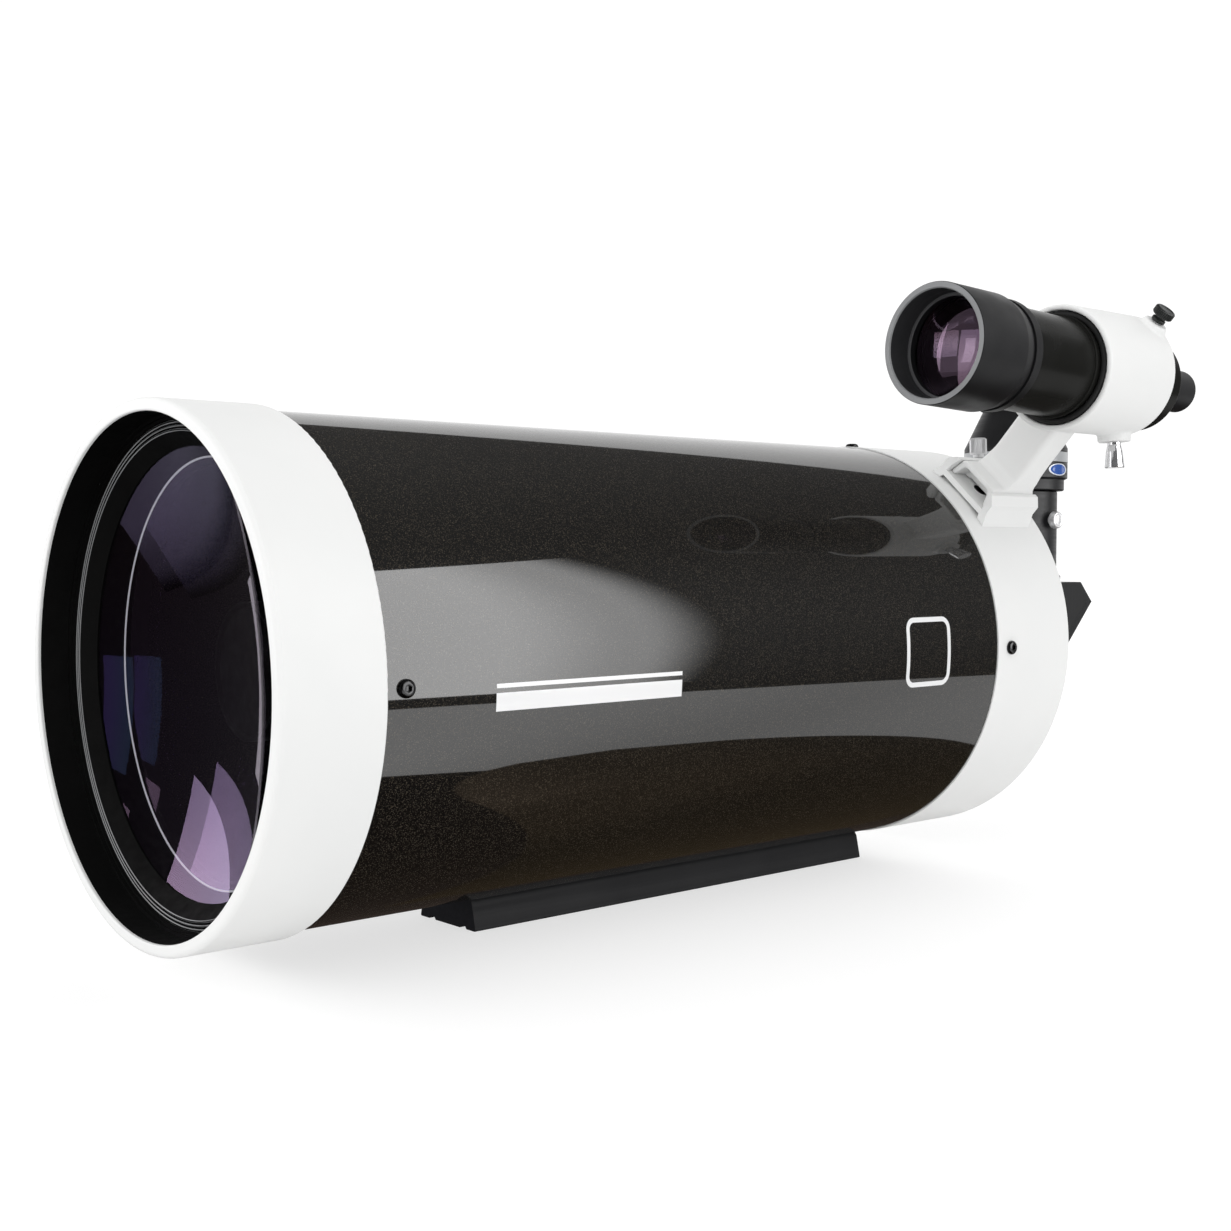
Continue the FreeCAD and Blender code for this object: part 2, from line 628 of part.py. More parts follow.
def diagonal_parts():
    shift = Placement(Vector(DIAGONAL_X, 0, 0), Rotation())
    body = OPTICAL.multiply(shift)
    keep("diagonal_nosepiece", diagonal_nosepiece(), OPTICAL)
    keep("diagonal_housing", diagonal_housing(), body)
    mirror_back = MIRROR_THICKNESS * math.sqrt(2)
    keep("diagonal_mirror", sloped_slab(0, mirror_back, MIRROR_LOW, MIRROR_HIGH, MIRROR_HALF_WIDTH), body)
    keep("diagonal_back_plate", diagonal_back_plate(), body)
    screw = countersunk_screw(1.5, 9, 2.9, 1.6)
    keep_group("diagonal_plate_screws", [aimed(screw, p, (1, 0, -1)) for p in plate_screw_places()], body)
    keep("eyepiece_holder", eyepiece_holder(), OPTICAL)
    side_screw = plain_thumb_screw(BARREL_RADIUS + CLEAR, HOLDER_RADIUS, 5.2, 4.5)
    rear_screw = plain_thumb_screw(BARREL_RADIUS + CLEAR, HOLDER_RADIUS, 4.2, 3.0)
    keep("holder_thumb_screw_side", aimed(side_screw, (DIAGONAL_X, 0, HOLDER_SCREW_HEIGHT), Y_AXIS * -1),
         OPTICAL)
    keep("holder_thumb_screw_rear", aimed(rear_screw, (DIAGONAL_X, 0, HOLDER_SCREW_HEIGHT), X_AXIS), OPTICAL)


# ---- eyepiece -----------------------------------------------------------------------------
BADGE_HEIGHT = 99.4
BADGE_TURN = 14.5


def eyepiece_badge():
    """A thin oval plate bent round the body, drawn with x as height and facing -Y before its turn."""
    oval = Part.Ellipse(ORIGIN, 9.2, 3.7).toShape()
    bar = Part.Face(Part.Wire([oval])).extrude(Vector(0, 0, -40))
    bar.Placement = Placement(Vector(BADGE_HEIGHT, 0, 0), Rotation(Vector(1, 1, 1), -120))
    badge = tube(90, 110, 31.9, 31.52).common(bar)
    badge.rotate(ORIGIN, X_AXIS, BADGE_TURN)
    return badge


def eyepiece_parts():
    floor = HOLDER_TOP + CLEAR
    barrel = tube(57, 90, BARREL_RADIUS, 14.2)
    body = spun([(floor, BARREL_RADIUS + RUNNING), (92, BARREL_RADIUS + RUNNING), (92, 13), (136, 13),
                 (136, 16), (141, 16), (141, 19), (136, 20.6), (113, 31.5), (110.6, 31.5), (110.6, 30.4),
                 (104.2, 30.4), (104.2, 31.5), (94.5, 31.5), (93.5, 29.5), (87.4, 29.5), (floor, 28.9)])
    trim = tube(104.3, 110.5, 31.7, 30.45)
    cup = spun([(136.9, 20.4), (141, 19.1), (156, 19.1), (158, 20), (158, 21.6), (156, 22.4), (138, 22.4),
                (136.9, 21.6)])
    lens = spun([(136.1, 0), (136.1, 15.8), (138.6, 15.8), (140.4, 8), (140.8, 0)])
    for name, shape in (("eyepiece_barrel", barrel), ("eyepiece_body", body), ("eyepiece_trim_ring", trim),
                        ("eyepiece_eyecup", cup), ("eyepiece_eye_lens", lens)):
        keep(name, upright(shape), OPTICAL)
    keep("eyepiece_badge", upright(eyepiece_badge()), OPTICAL)


# ---- finder shoe and bracket --------------------------------------------------------------
SHOE_HALF = 19.5
SHOE_LEG_HALF = 22.5
SHOE_UNDERSIDE = 108.7
SHOE_FLOOR = 111.8
SHOE_TOP = 121.0
FOOT_BOTTOM_HALF = 15.3
FOOT_TOP_HALF = 12.9
SHOE_SCREW_SEAT = (SHOE_SCREW_X, 18.0, 118.5)


def finder_shoe():
    """A base plate on the rear cell with a dovetail rail along each side."""
    side = [(SHOE_LEG_HALF, 98), (SHOE_LEG_HALF, 105.2), (SHOE_HALF, 112), (SHOE_HALF, 117), (15.6, SHOE_TOP),
            (13.3, SHOE_TOP), (15.75, SHOE_FLOOR)]
    gap = [(15.6, SHOE_UNDERSIDE), (17.5, 105), (17.5, 98)]
    mirrored = [(-y, z) for y, z in reversed(side)]
    mirrored_gap = [(-y, z) for y, z in reversed(gap)]
    outline = side + mirrored + mirrored_gap + gap
    shoe = prism(outline, SHOE_START, SHOE_END)
    shoe = shoe.cut(Part.makeCylinder(CELL_RADIUS + RUNNING, 200, Vector(350, 0, 0), X_AXIS))
    for x, y in shoe_screw_places():
        shoe = shoe.cut(aimed(rod(100, 115, 2.1), (x, y, 0), Z_AXIS))
        shoe = shoe.cut(aimed(spun([(109.3, 0), (109.3, 2.1), (111.9, 4.2), (111.9, 0)]), (x, y, 0), Z_AXIS))
    screw_hole = rod(-12, 12, M4_RADIUS + RUNNING)
    return shoe.cut(aimed(screw_hole, SHOE_SCREW_SEAT, (0, 1, 1)))


def bracket_foot():
    """The dovetail foot, hollow at its front end."""
    bottom, top = SHOE_FLOOR + 0.1, 122.0
    outline = [(-FOOT_BOTTOM_HALF, bottom), (FOOT_BOTTOM_HALF, bottom), (FOOT_TOP_HALF, SHOE_TOP),
               (11.5, top), (-11.5, top), (-FOOT_TOP_HALF, SHOE_TOP)]
    foot = prism(outline, FOOT_START, FOOT_END)
    hollow = prism([(-12.6, bottom - 1), (12.6, bottom - 1), (10.4, 118), (8.4, 119.4), (-8.4, 119.4),
                    (-10.4, 118)], FOOT_START - 1, FOOT_START + 10)
    under = prism([(-9.5, bottom - 1), (9.5, bottom - 1), (9.5, bottom + 0.6), (-9.5, bottom + 0.6)],
                  FOOT_START - 1, FOOT_END + 1)
    return foot.cut(hollow).cut(under)


def bracket_stalk():
    """The leaning stalk between the foot and the sleeve, wider where it meets each."""
    outline = [(440.5, 121), (465.5, 121), (464.5, 126), (464.5, 172), (443.5, 172), (443.5, 128)]
    stalk = side_prism(outline, 12.0)
    return rounded(stalk, 3.5, lambda e: abs(e.BoundBox.YMax - e.BoundBox.YMin) < 0.1
                   and e.BoundBox.ZMax - e.BoundBox.ZMin > 30)


def adjuster_directions():
    """Outward directions of the two adjusting screws, in the bracket's own frame."""
    return (Vector(0, 0, 1), Vector(0, 1, 0))


STEM_TIPS = (23.8, 23.9)
PLUNGER_DIRECTION = Vector(0, -math.sqrt(0.5), -math.sqrt(0.5))
BOSS_TOP = 34.4


def finder_bracket():
    """The foot, stalk and sleeve in one casting, with bosses for two adjusters and the plunger."""
    centre = Vector(0, 0, SLEEVE_CENTRE)
    sleeve = rod(SLEEVE_START, SLEEVE_END, SLEEVE_RADIUS)
    sleeve = rounded(sleeve, 0.8, ring_edge(SLEEVE_START, SLEEVE_RADIUS))
    sleeve = rounded(sleeve, 0.8, ring_edge(SLEEVE_END, SLEEVE_RADIUS))
    sleeve.translate(centre)
    solids = [bracket_foot(), bracket_stalk(), sleeve]
    at = Vector(ADJUSTER_X, 0, SLEEVE_CENTRE)
    for direction in adjuster_directions():
        boss = spun([(24, 0), (24, 7.6), (31, 7.6), (BOSS_TOP, 6.2), (BOSS_TOP, 0)])
        solids.append(aimed(boss, at, direction))
    plunger_at = Vector(PLUNGER_X, 0, SLEEVE_CENTRE)
    solids.append(aimed(rod(24, BOSS_TOP + 0.6, 8.4), plunger_at, PLUNGER_DIRECTION))
    bracket = joined(solids)
    bore = rod(SLEEVE_START - 20, SLEEVE_END + 20, SLEEVE_BORE)
    bore.translate(centre)
    bracket = bracket.cut(bore)
    for direction in adjuster_directions():
        bracket = bracket.cut(aimed(rod(15, 40, M4_RADIUS + RUNNING), at, direction))
    return bracket.cut(aimed(rod(15, 40, 2.1), plunger_at, PLUNGER_DIRECTION))


def adjuster_stem(tip):
    """The threaded stem whose tip bears on the finder."""
    return rod(tip, 40.0, M4_RADIUS)


def adjuster_knob():
    """The collar, neck and knurled head, which turn on the stem."""
    bore = M4_RADIUS + RUNNING
    return spun([(35.0, bore), (37.0, bore), (40.2, bore), (40.2, 0), (42.6, 0), (42.6, 4.9), (42.0, 5.5),
                 (38.8, 5.5), (38.2, 4.9), (38.2, 2.9), (37.0, 2.9), (37.0, 3.7), (35.0, 3.7)])


def plunger_housing():
    """The flared cap that holds the plunger's spring."""
    return spun([(BOSS_TOP + 0.7, 2.1), (47.0, 2.1), (47.0, 0), (48.6, 0), (48.6, 4.6), (48.2, 5.0),
                 (40, 4.2), (36.5, 3.4), (BOSS_TOP + 0.7, 3.4)])


def plunger_pin():
    """The round-nosed pin that the spring pushes against the finder."""
    return spun([(28.1, 0), (28.4, 1.4), (29.2, M4_RADIUS), (43, M4_RADIUS), (43, 0)])


def shoe_thumb_screw():
    """The screw that pins the foot in its shoe."""
    stem = rod(-3.5, 2.5, M4_RADIUS)
    collar = rod(0.5, 2.5, 3.0)
    return joined([stem, collar, thumb_head(2.5, 4.6, 8.8)])


def shoe_and_bracket():
    keep("finder_shoe", finder_shoe(), BRACKET)
    screw = countersunk_screw(M4_RADIUS, 12, 4.0, 2.4)
    screws = [aimed(screw, (x, y, SHOE_FLOOR - 0.1), Z_AXIS) for x, y in shoe_screw_places()]
    keep_group("shoe_screws", screws, BRACKET)
    keep("shoe_thumb_screw", aimed(shoe_thumb_screw(), SHOE_SCREW_SEAT, (0, 1, 1)), BRACKET)
    keep("finder_bracket", finder_bracket(), BRACKET)
    for letter, direction, tip in zip("ab", adjuster_directions(), STEM_TIPS):
        keep("adjuster_stem_" + letter, aimed(adjuster_stem(tip), (ADJUSTER_X, 0, 0), direction), SLEEVE)
        keep("adjuster_knob_" + letter, aimed(adjuster_knob(), (ADJUSTER_X, 0, 0), direction), SLEEVE)
    keep("plunger_housing", aimed(plunger_housing(), (PLUNGER_X, 0, 0), PLUNGER_DIRECTION), SLEEVE)
    keep("plunger_pin", aimed(plunger_pin(), (PLUNGER_X, 0, 0), PLUNGER_DIRECTION), SLEEVE)


# ---- finder -------------------------------------------------------------------------------
def o_ring():
    """The rubber ring the finder tilts in."""
    return Part.makeTorus(ORING_RADIUS, ORING_THICKNESS, ORIGIN, X_AXIS)


def finder_tube():
    """The finder's barrel: a lip in front of the O-ring and a closed end that takes the eyepiece."""
    radius, rear = FINDER_TUBE_RADIUS, FINDER_REAR
    lip = radius + 1.0
    return spun([(FINDER_FRONT, 22.6), (rear - 4.5, 22.6), (rear - 4.5, 9.3), (rear, 9.3),
                 (rear, radius - 0.8), (rear - 0.8, radius), (-3.4, radius), (-3.4, lip), (-5.5, lip),
                 (-5.5, radius), (FINDER_FRONT, radius)])


def finder_objective_cell():
    """The wider front barrel, which holds the objective and screws over the finder's tube."""
    inner, outer = FINDER_TUBE_RADIUS + RUNNING, FINDER_CELL_RADIUS
    return spun([(-100.2, 25.3), (-74.6, 25.3), (-74.6, 23.2), (-72.6, 23.2), (-72.6, inner), (-58, inner),
                 (-58, outer - 0.36), (-58.4, outer), (-99.8, outer), (-100.2, outer - 0.36)])


def finder_objective_lens():
    """A round lens with a bulging front and a flat back."""
    radius = FINDER_TUBE_RADIUS
    edge_front, edge_rear = -82.6, -75.0
    bulge = 2.4
    curve = (radius * radius + bulge * bulge) / (2 * bulge)
    half_bulge = bulge - sagitta(curve, radius / 2)
    front = Part.Arc(Vector(edge_front - bulge, 0, 0), Vector(edge_front - half_bulge, 0, radius / 2),
                     Vector(edge_front, 0, radius)).toShape()
    rim = Part.makeLine(Vector(edge_front, 0, radius), Vector(edge_rear, 0, radius))
    back = Part.makeLine(Vector(edge_rear, 0, radius), Vector(edge_rear, 0, 0))
    axis = Part.makeLine(Vector(edge_rear, 0, 0), Vector(edge_front - bulge, 0, 0))
    return Part.Face(Part.Wire([front, rim, back, axis])).revolve(ORIGIN, X_AXIS, 360)


def finder_eyepiece():
    """The finder's own eyepiece, a plain barrel with a recess for its lens."""
    outer, end = FINDER_BARREL_RADIUS, FINDER_BARREL_END
    start = FINDER_REAR + 0.1
    inside = start - 8.5
    return spun([(inside, 7.6), (end - 4.1, 7.6), (end - 4.1, 9.4), (end, 9.4), (end, outer - 0.6),
                 (end - 0.6, outer), (start + 0.6, outer), (start, outer - 0.6), (start, 9.2), (inside, 9.2)])


def finder_parts():
    keep("finder_o_ring", o_ring(), FINDER)
    keep("finder_tube", finder_tube(), FINDER)
    keep("finder_lock_ring", spun([(-57.6, FINDER_TUBE_RADIUS + RUNNING), (-52, FINDER_TUBE_RADIUS + RUNNING),
                                   (-52, 26.4), (-52.5, 27.2), (-57.6, 27.2)]), FINDER)
    keep("finder_objective_cell", finder_objective_cell(), FINDER)
    keep("finder_objective_ring", spun([(-87, 23.7), (-83.2, 23.7), (-83.2, 25.2), (-87, 25.2)]), FINDER)
    keep("finder_objective_lens", finder_objective_lens(), FINDER)
    keep("finder_eyepiece", finder_eyepiece(), FINDER)
    seat = FINDER_BARREL_END - 4.0
    keep("finder_eye_lens", spun([(seat, 0), (seat, 9.3), (seat + 1.4, 9.3), (seat + 2.4, 0)]), FINDER)


# ---- build --------------------------------------------------------------------------------
def main():
    front_of_tube()
    tube_and_rear()
    primary_and_focus()
    visual_back_parts()
    diagonal_parts()
    eyepiece_parts()
    shoe_and_bracket()
    finder_parts()
    os.makedirs("parts", exist_ok=True)
    for name, shape in NODES.items():
        count = len(shape.Solids)
        print(f"{name}: {count} solid(s), valid {shape.isValid()}, volume {shape.Volume:.0f}")
        shape.exportStep(f"parts/{name}.step")


main()
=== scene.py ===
import bpy
import bmesh
import json
import math
from mathutils import Matrix, Vector

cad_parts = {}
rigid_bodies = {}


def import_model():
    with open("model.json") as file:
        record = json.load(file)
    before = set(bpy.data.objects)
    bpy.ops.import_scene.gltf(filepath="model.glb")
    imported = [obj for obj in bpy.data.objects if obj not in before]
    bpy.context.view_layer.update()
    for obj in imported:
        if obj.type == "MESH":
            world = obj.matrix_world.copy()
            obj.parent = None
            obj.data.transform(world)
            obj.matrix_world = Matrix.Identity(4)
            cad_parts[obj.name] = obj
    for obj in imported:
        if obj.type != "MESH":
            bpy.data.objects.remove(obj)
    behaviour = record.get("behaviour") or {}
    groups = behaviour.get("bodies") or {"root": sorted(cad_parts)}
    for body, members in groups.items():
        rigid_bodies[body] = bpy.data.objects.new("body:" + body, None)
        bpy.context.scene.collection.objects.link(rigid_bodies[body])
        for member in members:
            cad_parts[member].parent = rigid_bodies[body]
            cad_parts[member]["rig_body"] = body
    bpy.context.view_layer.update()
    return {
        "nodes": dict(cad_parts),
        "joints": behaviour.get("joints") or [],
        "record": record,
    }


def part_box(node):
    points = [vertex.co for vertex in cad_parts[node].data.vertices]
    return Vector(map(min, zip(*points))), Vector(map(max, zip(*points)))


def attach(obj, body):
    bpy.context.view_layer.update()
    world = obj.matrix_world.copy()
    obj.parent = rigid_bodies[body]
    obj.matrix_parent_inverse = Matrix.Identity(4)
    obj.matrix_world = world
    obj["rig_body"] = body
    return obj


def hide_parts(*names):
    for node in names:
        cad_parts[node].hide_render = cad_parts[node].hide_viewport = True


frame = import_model()
nodes = frame["nodes"]
joints = {joint["name"]: joint for joint in frame["joints"]}
SLOTS = {part["node"]: part["material_slot"] for part in frame["record"]["subparts"]}

MM = 0.001
X_AXIS = Vector((1, 0, 0))
tube_low, tube_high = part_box("main_tube")
AXIS = Vector((0, 0, (tube_low.z + tube_high.z) / 2))
TUBE_RADIUS = (tube_high.z - tube_low.z) / 2
FRONT_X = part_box("front_ring")[0].x

# ---- camera -------------------------------------------------------------------------------
YAW, PITCH, ROLL = math.radians(48.886), math.radians(-2.4635), math.radians(0.093)
CAMERA_PLACE = (-0.54464, -0.58976, 0.17117)
FOCAL_LENGTH, SENSOR = 46.49, 36.0
forward = Vector((math.cos(PITCH) * math.cos(YAW), math.cos(PITCH) * math.sin(YAW), math.sin(PITCH)))
right = Vector((math.sin(YAW), -math.cos(YAW), 0.0))
up = right.cross(forward)
right, up = right * math.cos(ROLL) + up * math.sin(ROLL), up * math.cos(ROLL) - right * math.sin(ROLL)
cam_data = bpy.data.cameras.new("camera")
cam_data.sensor_width = SENSOR
cam_data.lens = FOCAL_LENGTH
cam_data.clip_start = 0.01
cam_data.clip_end = 60.0
camera = bpy.data.objects.new("camera", cam_data)
bpy.context.collection.objects.link(camera)
camera.matrix_world = Matrix.Translation(CAMERA_PLACE) @ Matrix((right, up, -forward)).transposed().to_4x4()
bpy.context.scene.camera = camera
bpy.context.scene.view_settings.view_transform = "Standard"


# ---- material helpers ---------------------------------------------------------------------
class Shader:
    """A small wrapper that builds a node material round one Principled shader."""

    def __init__(self, name):
        self.mat = bpy.data.materials.new(name)
        self.mat.use_nodes = True
        self.tree = self.mat.node_tree
        self.main = self.tree.nodes["Principled BSDF"]
        self.coords = self.node("ShaderNodeTexCoord").outputs["Object"]

    def node(self, kind, **settings):
        made = self.tree.nodes.new(kind)
        for key, value in settings.items():
            setattr(made, key, value)
        return made

    def link(self, a, b):
        self.tree.links.new(a, b)

    def set(self, **values):
        for key, value in values.items():
            self.main.inputs[key.replace("_", " ")].default_value = value
        return self

    def place(self, stretch):
        """The object's own coordinates, stretched for tool lines if asked."""
        if stretch is None:
            return self.coords
        mapping = self.node("ShaderNodeMapping")
        mapping.inputs["Scale"].default_value = stretch
        self.link(self.coords, mapping.inputs["Vector"])
        return mapping.outputs["Vector"]

    def noise(self, scale, detail, stretch=None):
        tex = self.node("ShaderNodeTexNoise")
        tex.inputs["Scale"].default_value = scale
        tex.inputs["Detail"].default_value = detail
        self.link(self.place(stretch), tex.inputs["Vector"])
        return tex.outputs["Fac"]

    def cells(self, scale):
        """One random colour per small cell, as three separate channels."""
        tex = self.node("ShaderNodeTexVoronoi")
        tex.inputs["Scale"].default_value = scale
        self.link(self.coords, tex.inputs["Vector"])
        split = self.node("ShaderNodeSeparateColor")
        self.link(tex.outputs["Color"], split.inputs["Color"])
        return split.outputs

    def ramp(self, source, stops):
        """Colours along a source; stops are (position, colour)."""
        made = self.node("ShaderNodeValToRGB")
        ramp = made.color_ramp
        while len(ramp.elements) < len(stops):
            ramp.elements.new(0.5)
        for element, (position, colour) in zip(ramp.elements, stops):
            element.position = position
            element.color = (*colour, 1.0)
        self.link(source, made.inputs["Fac"])
        return made.outputs["Color"]

    def grey(self, source, low, high, start=0.35, end=0.65):
        """A plain value that goes from low to high along a source."""
        return self.ramp(source, [(start, (low,) * 3), (end, (high,) * 3)])

    def mix(self, factor, a, b):
        made = self.node("ShaderNodeMix", data_type="RGBA")
        self.link(factor, made.inputs["Factor"])
        self.link(a, made.inputs["A"])
        self.link(b, made.inputs["B"])
        return made.outputs["Result"]

    def bump(self, height, strength, distance):
        made = self.node("ShaderNodeBump")
        made.inputs["Strength"].default_value = strength
        made.inputs["Distance"].default_value = distance
        self.link(height, made.inputs["Height"])
        self.link(made.outputs["Normal"], self.main.inputs["Normal"])
        return self

    def colour(self, source):
        self.link(source, self.main.inputs["Base Color"])
        return self

    def rough(self, source):
        self.link(source, self.main.inputs["Roughness"])
        return self


def painted(name, colour, shade, rough=(0.28, 0.36), peel=0.04, coat=0.0, shine=0.5):
    """Sprayed enamel: a faint colour drift, orange-peel bump and uneven gloss."""
    made = Shader(name)
    made.colour(made.ramp(made.noise(14.0, 4.0), [(0.3, colour), (0.7, shade)]))
    made.rough(made.grey(made.noise(60.0, 3.0), *rough))
    made.bump(made.noise(900.0, 2.0), peel, 0.0002)
    made.set(Coat_Weight=coat, Coat_Roughness=0.06, Specular_IOR_Level=shine)
    return made.mat


def anodised(name, colour, shade, rough=(0.34, 0.46), lines=(900.0, 6.0, 6.0), shine=0.3):
    """Dyed metal with fine turning or extrusion lines."""
    made = Shader(name)
    made.colour(made.ramp(made.noise(30.0, 4.0), [(0.3, colour), (0.7, shade)]))
    made.rough(made.grey(made.noise(1.0, 3.0, stretch=lines), *rough))
    made.bump(made.noise(1.0, 2.0, stretch=lines), 0.05, 0.0002)
    made.set(Specular_IOR_Level=shine)
    return made.mat


def bare_metal(name, colour, shade, rough=(0.16, 0.3), lines=(900.0, 60.0, 60.0), metallic=1.0):
    """Turned or plated metal with fine tool lines."""
    made = Shader(name)
    made.colour(made.ramp(made.noise(80.0, 3.0), [(0.3, colour), (0.7, shade)]))
    made.rough(made.grey(made.noise(1.0, 3.0, stretch=lines), *rough))
    made.bump(made.noise(1.0, 2.0, stretch=lines), 0.04, 0.0001)
    made.set(Metallic=metallic)
    return made.mat


def rubbery(name, colour, shade, shine=0.4):
    """Matt moulded rubber with a fine grain."""
    made = Shader(name)
    made.colour(made.ramp(made.noise(60.0, 4.0), [(0.3, colour), (0.7, shade)]))
    made.rough(made.grey(made.noise(200.0, 3.0), 0.62, 0.78))
    made.bump(made.noise(1400.0, 3.0), 0.25, 0.0002)
    made.set(Specular_IOR_Level=shine)
    return made.mat


def lacquer(name):
    """Black lacquer with fine bronze flakes under a glossy clear coat."""
    made = Shader(name)
    flake = made.cells(3400.0)
    spark = made.grey(flake["Red"], 0.0, 1.0, 0.74, 1.0)
    ground = made.ramp(made.noise(9.0, 3.0),
                       [(0.3, (0.0024, 0.0022, 0.0020)), (0.7, (0.0040, 0.0036, 0.0031))])
    tint = made.ramp(flake["Green"], [(0.2, (0.026, 0.020, 0.013)), (0.8, (0.068, 0.056, 0.040))])
    made.colour(made.mix(spark, ground, tint))
    made.rough(made.grey(flake["Blue"], 0.42, 0.60, 0.0, 1.0))
    made.bump(made.noise(420.0, 2.0), 0.02, 0.0001)
    made.set(Specular_IOR_Level=0.06, Coat_Weight=1.0, Coat_Roughness=0.03, Coat_IOR=1.5)
    return made.mat


def coated_glass(name, reflect, index=1.5):
    """Clear glass whose thin coating tints what it reflects."""
    made = Shader(name)
    made.colour(made.ramp(made.noise(8.0, 2.0), [(0.3, (0.95, 0.96, 0.98)), (0.7, (0.97, 0.98, 1.0))]))
    made.set(Transmission_Weight=1.0, Roughness=0.0, IOR=index, Specular_Tint=(*reflect, 1.0))
    return made.mat


def painted_glow_edge(name):
    """The thin ground chamfer of a lens, with a painted glow: it emits a little light of its own, though it is
    no lamp.
    """
    made = Shader(name)
    made.colour(made.ramp(made.noise(300.0, 3.0), [(0.3, (0.5, 0.5, 0.53)), (0.7, (0.62, 0.62, 0.66))]))
    made.rough(made.grey(made.noise(500.0, 2.0), 0.5, 0.7))
    # Painted glow: a faint emission on the chamfer.
    made.set(Emission_Color=(0.62, 0.6, 0.68, 1.0), Emission_Strength=0.45)
    return made.mat


def mirror_glass(name):
    """Aluminised glass with the faintest haze."""
    made = Shader(name)
    made.colour(made.ramp(made.noise(20.0, 2.0), [(0.3, (0.86, 0.87, 0.88)), (0.7, (0.9, 0.9, 0.91))]))
    made.rough(made.grey(made.noise(300.0, 2.0), 0.02, 0.04))
    made.set(Metallic=1.0)
    return made.mat


BLACK_LOW, BLACK_HIGH = (0.008, 0.008, 0.009), (0.013, 0.013, 0.014)
CHROME = (0.62, 0.62, 0.63), (0.7, 0.7, 0.71), (0.08, 0.14)
ALONG_LINES = (3.0, 500.0, 500.0)
UPRIGHT_LINES = (8.0, 8.0, 900.0)

LOOKS = {
    "white_paint": painted("white_paint", (0.77, 0.775, 0.77), (0.8, 0.802, 0.795), (0.42, 0.52), 0.05, 0.0,
                           0.1),
    "black_anodised": anodised("black_anodised", BLACK_LOW, BLACK_HIGH, shine=0.22),
    "black_satin": painted("black_satin", BLACK_LOW, BLACK_HIGH, (0.36, 0.46), 0.06, 0.0, 0.14),
    "black_lacquer": lacquer("black_lacquer"),
    "dovetail_anodised": anodised("dovetail_anodised", (0.007, 0.007, 0.008), (0.012, 0.012, 0.013),
                                  (0.42, 0.54), ALONG_LINES, 0.08),
    "black_steel": bare_metal("black_steel", (0.025, 0.025, 0.026), (0.045, 0.045, 0.045)),
    "plain_steel": bare_metal("plain_steel", (0.68, 0.68, 0.69), (0.76, 0.76, 0.77), (0.28, 0.4),
                              metallic=0.55),
    "plain_aluminium": bare_metal("plain_aluminium", (0.5, 0.5, 0.5), (0.58, 0.58, 0.58), (0.25, 0.4),
                                  metallic=0.8),
    "brass": bare_metal("brass", (0.62, 0.44, 0.17), (0.7, 0.52, 0.24)),
    "chrome": bare_metal("chrome", *CHROME, metallic=0.85),
    "optical_glass": coated_glass("optical_glass", (0.80, 0.46, 0.96)),
    "mirror_coating": mirror_glass("mirror_coating"),
    "black_rubber": rubbery("black_rubber", (0.012, 0.012, 0.012), (0.02, 0.02, 0.02)),
    "black_nylon": painted("black_nylon", (0.014, 0.016, 0.015), (0.024, 0.026, 0.025), (0.38, 0.5), 0.08, 0.0,
                           0.4),
    "grey_trim": painted("grey_trim", (0.32, 0.33, 0.34), (0.38, 0.39, 0.4)),
    "badge_enamel": painted("badge_enamel", (0.03, 0.09, 0.36), (0.05, 0.13, 0.44), (0.1, 0.16), 0.0, 0.5),
}
# Painted glow for the thin ground chamfer of the corrector.
PAINTED_GLOW_CHAMFER = painted_glow_edge("ground_glass_painted_glow")
BLACKED = rubbery("blacked_rim", (0.003, 0.003, 0.003), (0.005, 0.005, 0.005), shine=0.1)
PRINT = painted("white_print", (0.74, 0.745, 0.75), (0.8, 0.8, 0.805), (0.3, 0.4), 0.03, 0.3)
PALE_ENAMEL = painted("pale_enamel", (0.62, 0.66, 0.74), (0.7, 0.73, 0.8), (0.12, 0.2), 0.0, 0.4)
# Painted highlight: a pale grey on thin rims and ridge edges of black parts, standing in for the light they
# catch.
RIM_PAINTED_HIGHLIGHT = anodised("rim_painted_highlight", (0.17, 0.175, 0.18), (0.22, 0.225, 0.23), (0.32, 0.44), shine=0.6)
# Painted highlight: a lighter grey for the front edge of the finder's lens ring.
RING_EDGE_PAINTED_HIGHLIGHT = anodised("ring_edge_painted_highlight", (0.07, 0.07, 0.074), (0.09, 0.09, 0.094), (0.32, 0.44), shine=0.5)
DARK_BORE = anodised("dark_bore", (0.024, 0.024, 0.026), (0.034, 0.034, 0.036), (0.4, 0.5), shine=0.2)
FINDER_GLASS = coated_glass("finder_glass", (0.92, 0.62, 0.9), 1.72)
FINDER_SKIN = painted("finder_skin", (0.009, 0.009, 0.008), (0.014, 0.014, 0.013), (0.2, 0.28), 0.04, 0.0,
                      0.05)
MATT_BLACK = rubbery("matt_black", (0.003, 0.003, 0.003), (0.004, 0.004, 0.004), shine=0.08)

UPRIGHT_BLACK = anodised("upright_black", BLACK_LOW, BLACK_HIGH, lines=UPRIGHT_LINES, shine=0.22)
UPRIGHT_CHROME = bare_metal("upright_chrome", *CHROME, UPRIGHT_LINES, 0.85)
UPRIGHT = {"eyepiece_holder": UPRIGHT_BLACK, "eyepiece_body": UPRIGHT_BLACK,
           "eyepiece_barrel": UPRIGHT_CHROME}
MATT_NODES = ["secondary_baffle", "baffle_tube", "joint_ring", "mirror_carrier", "mirror_retaining_ring",
              "corrector_cell"]


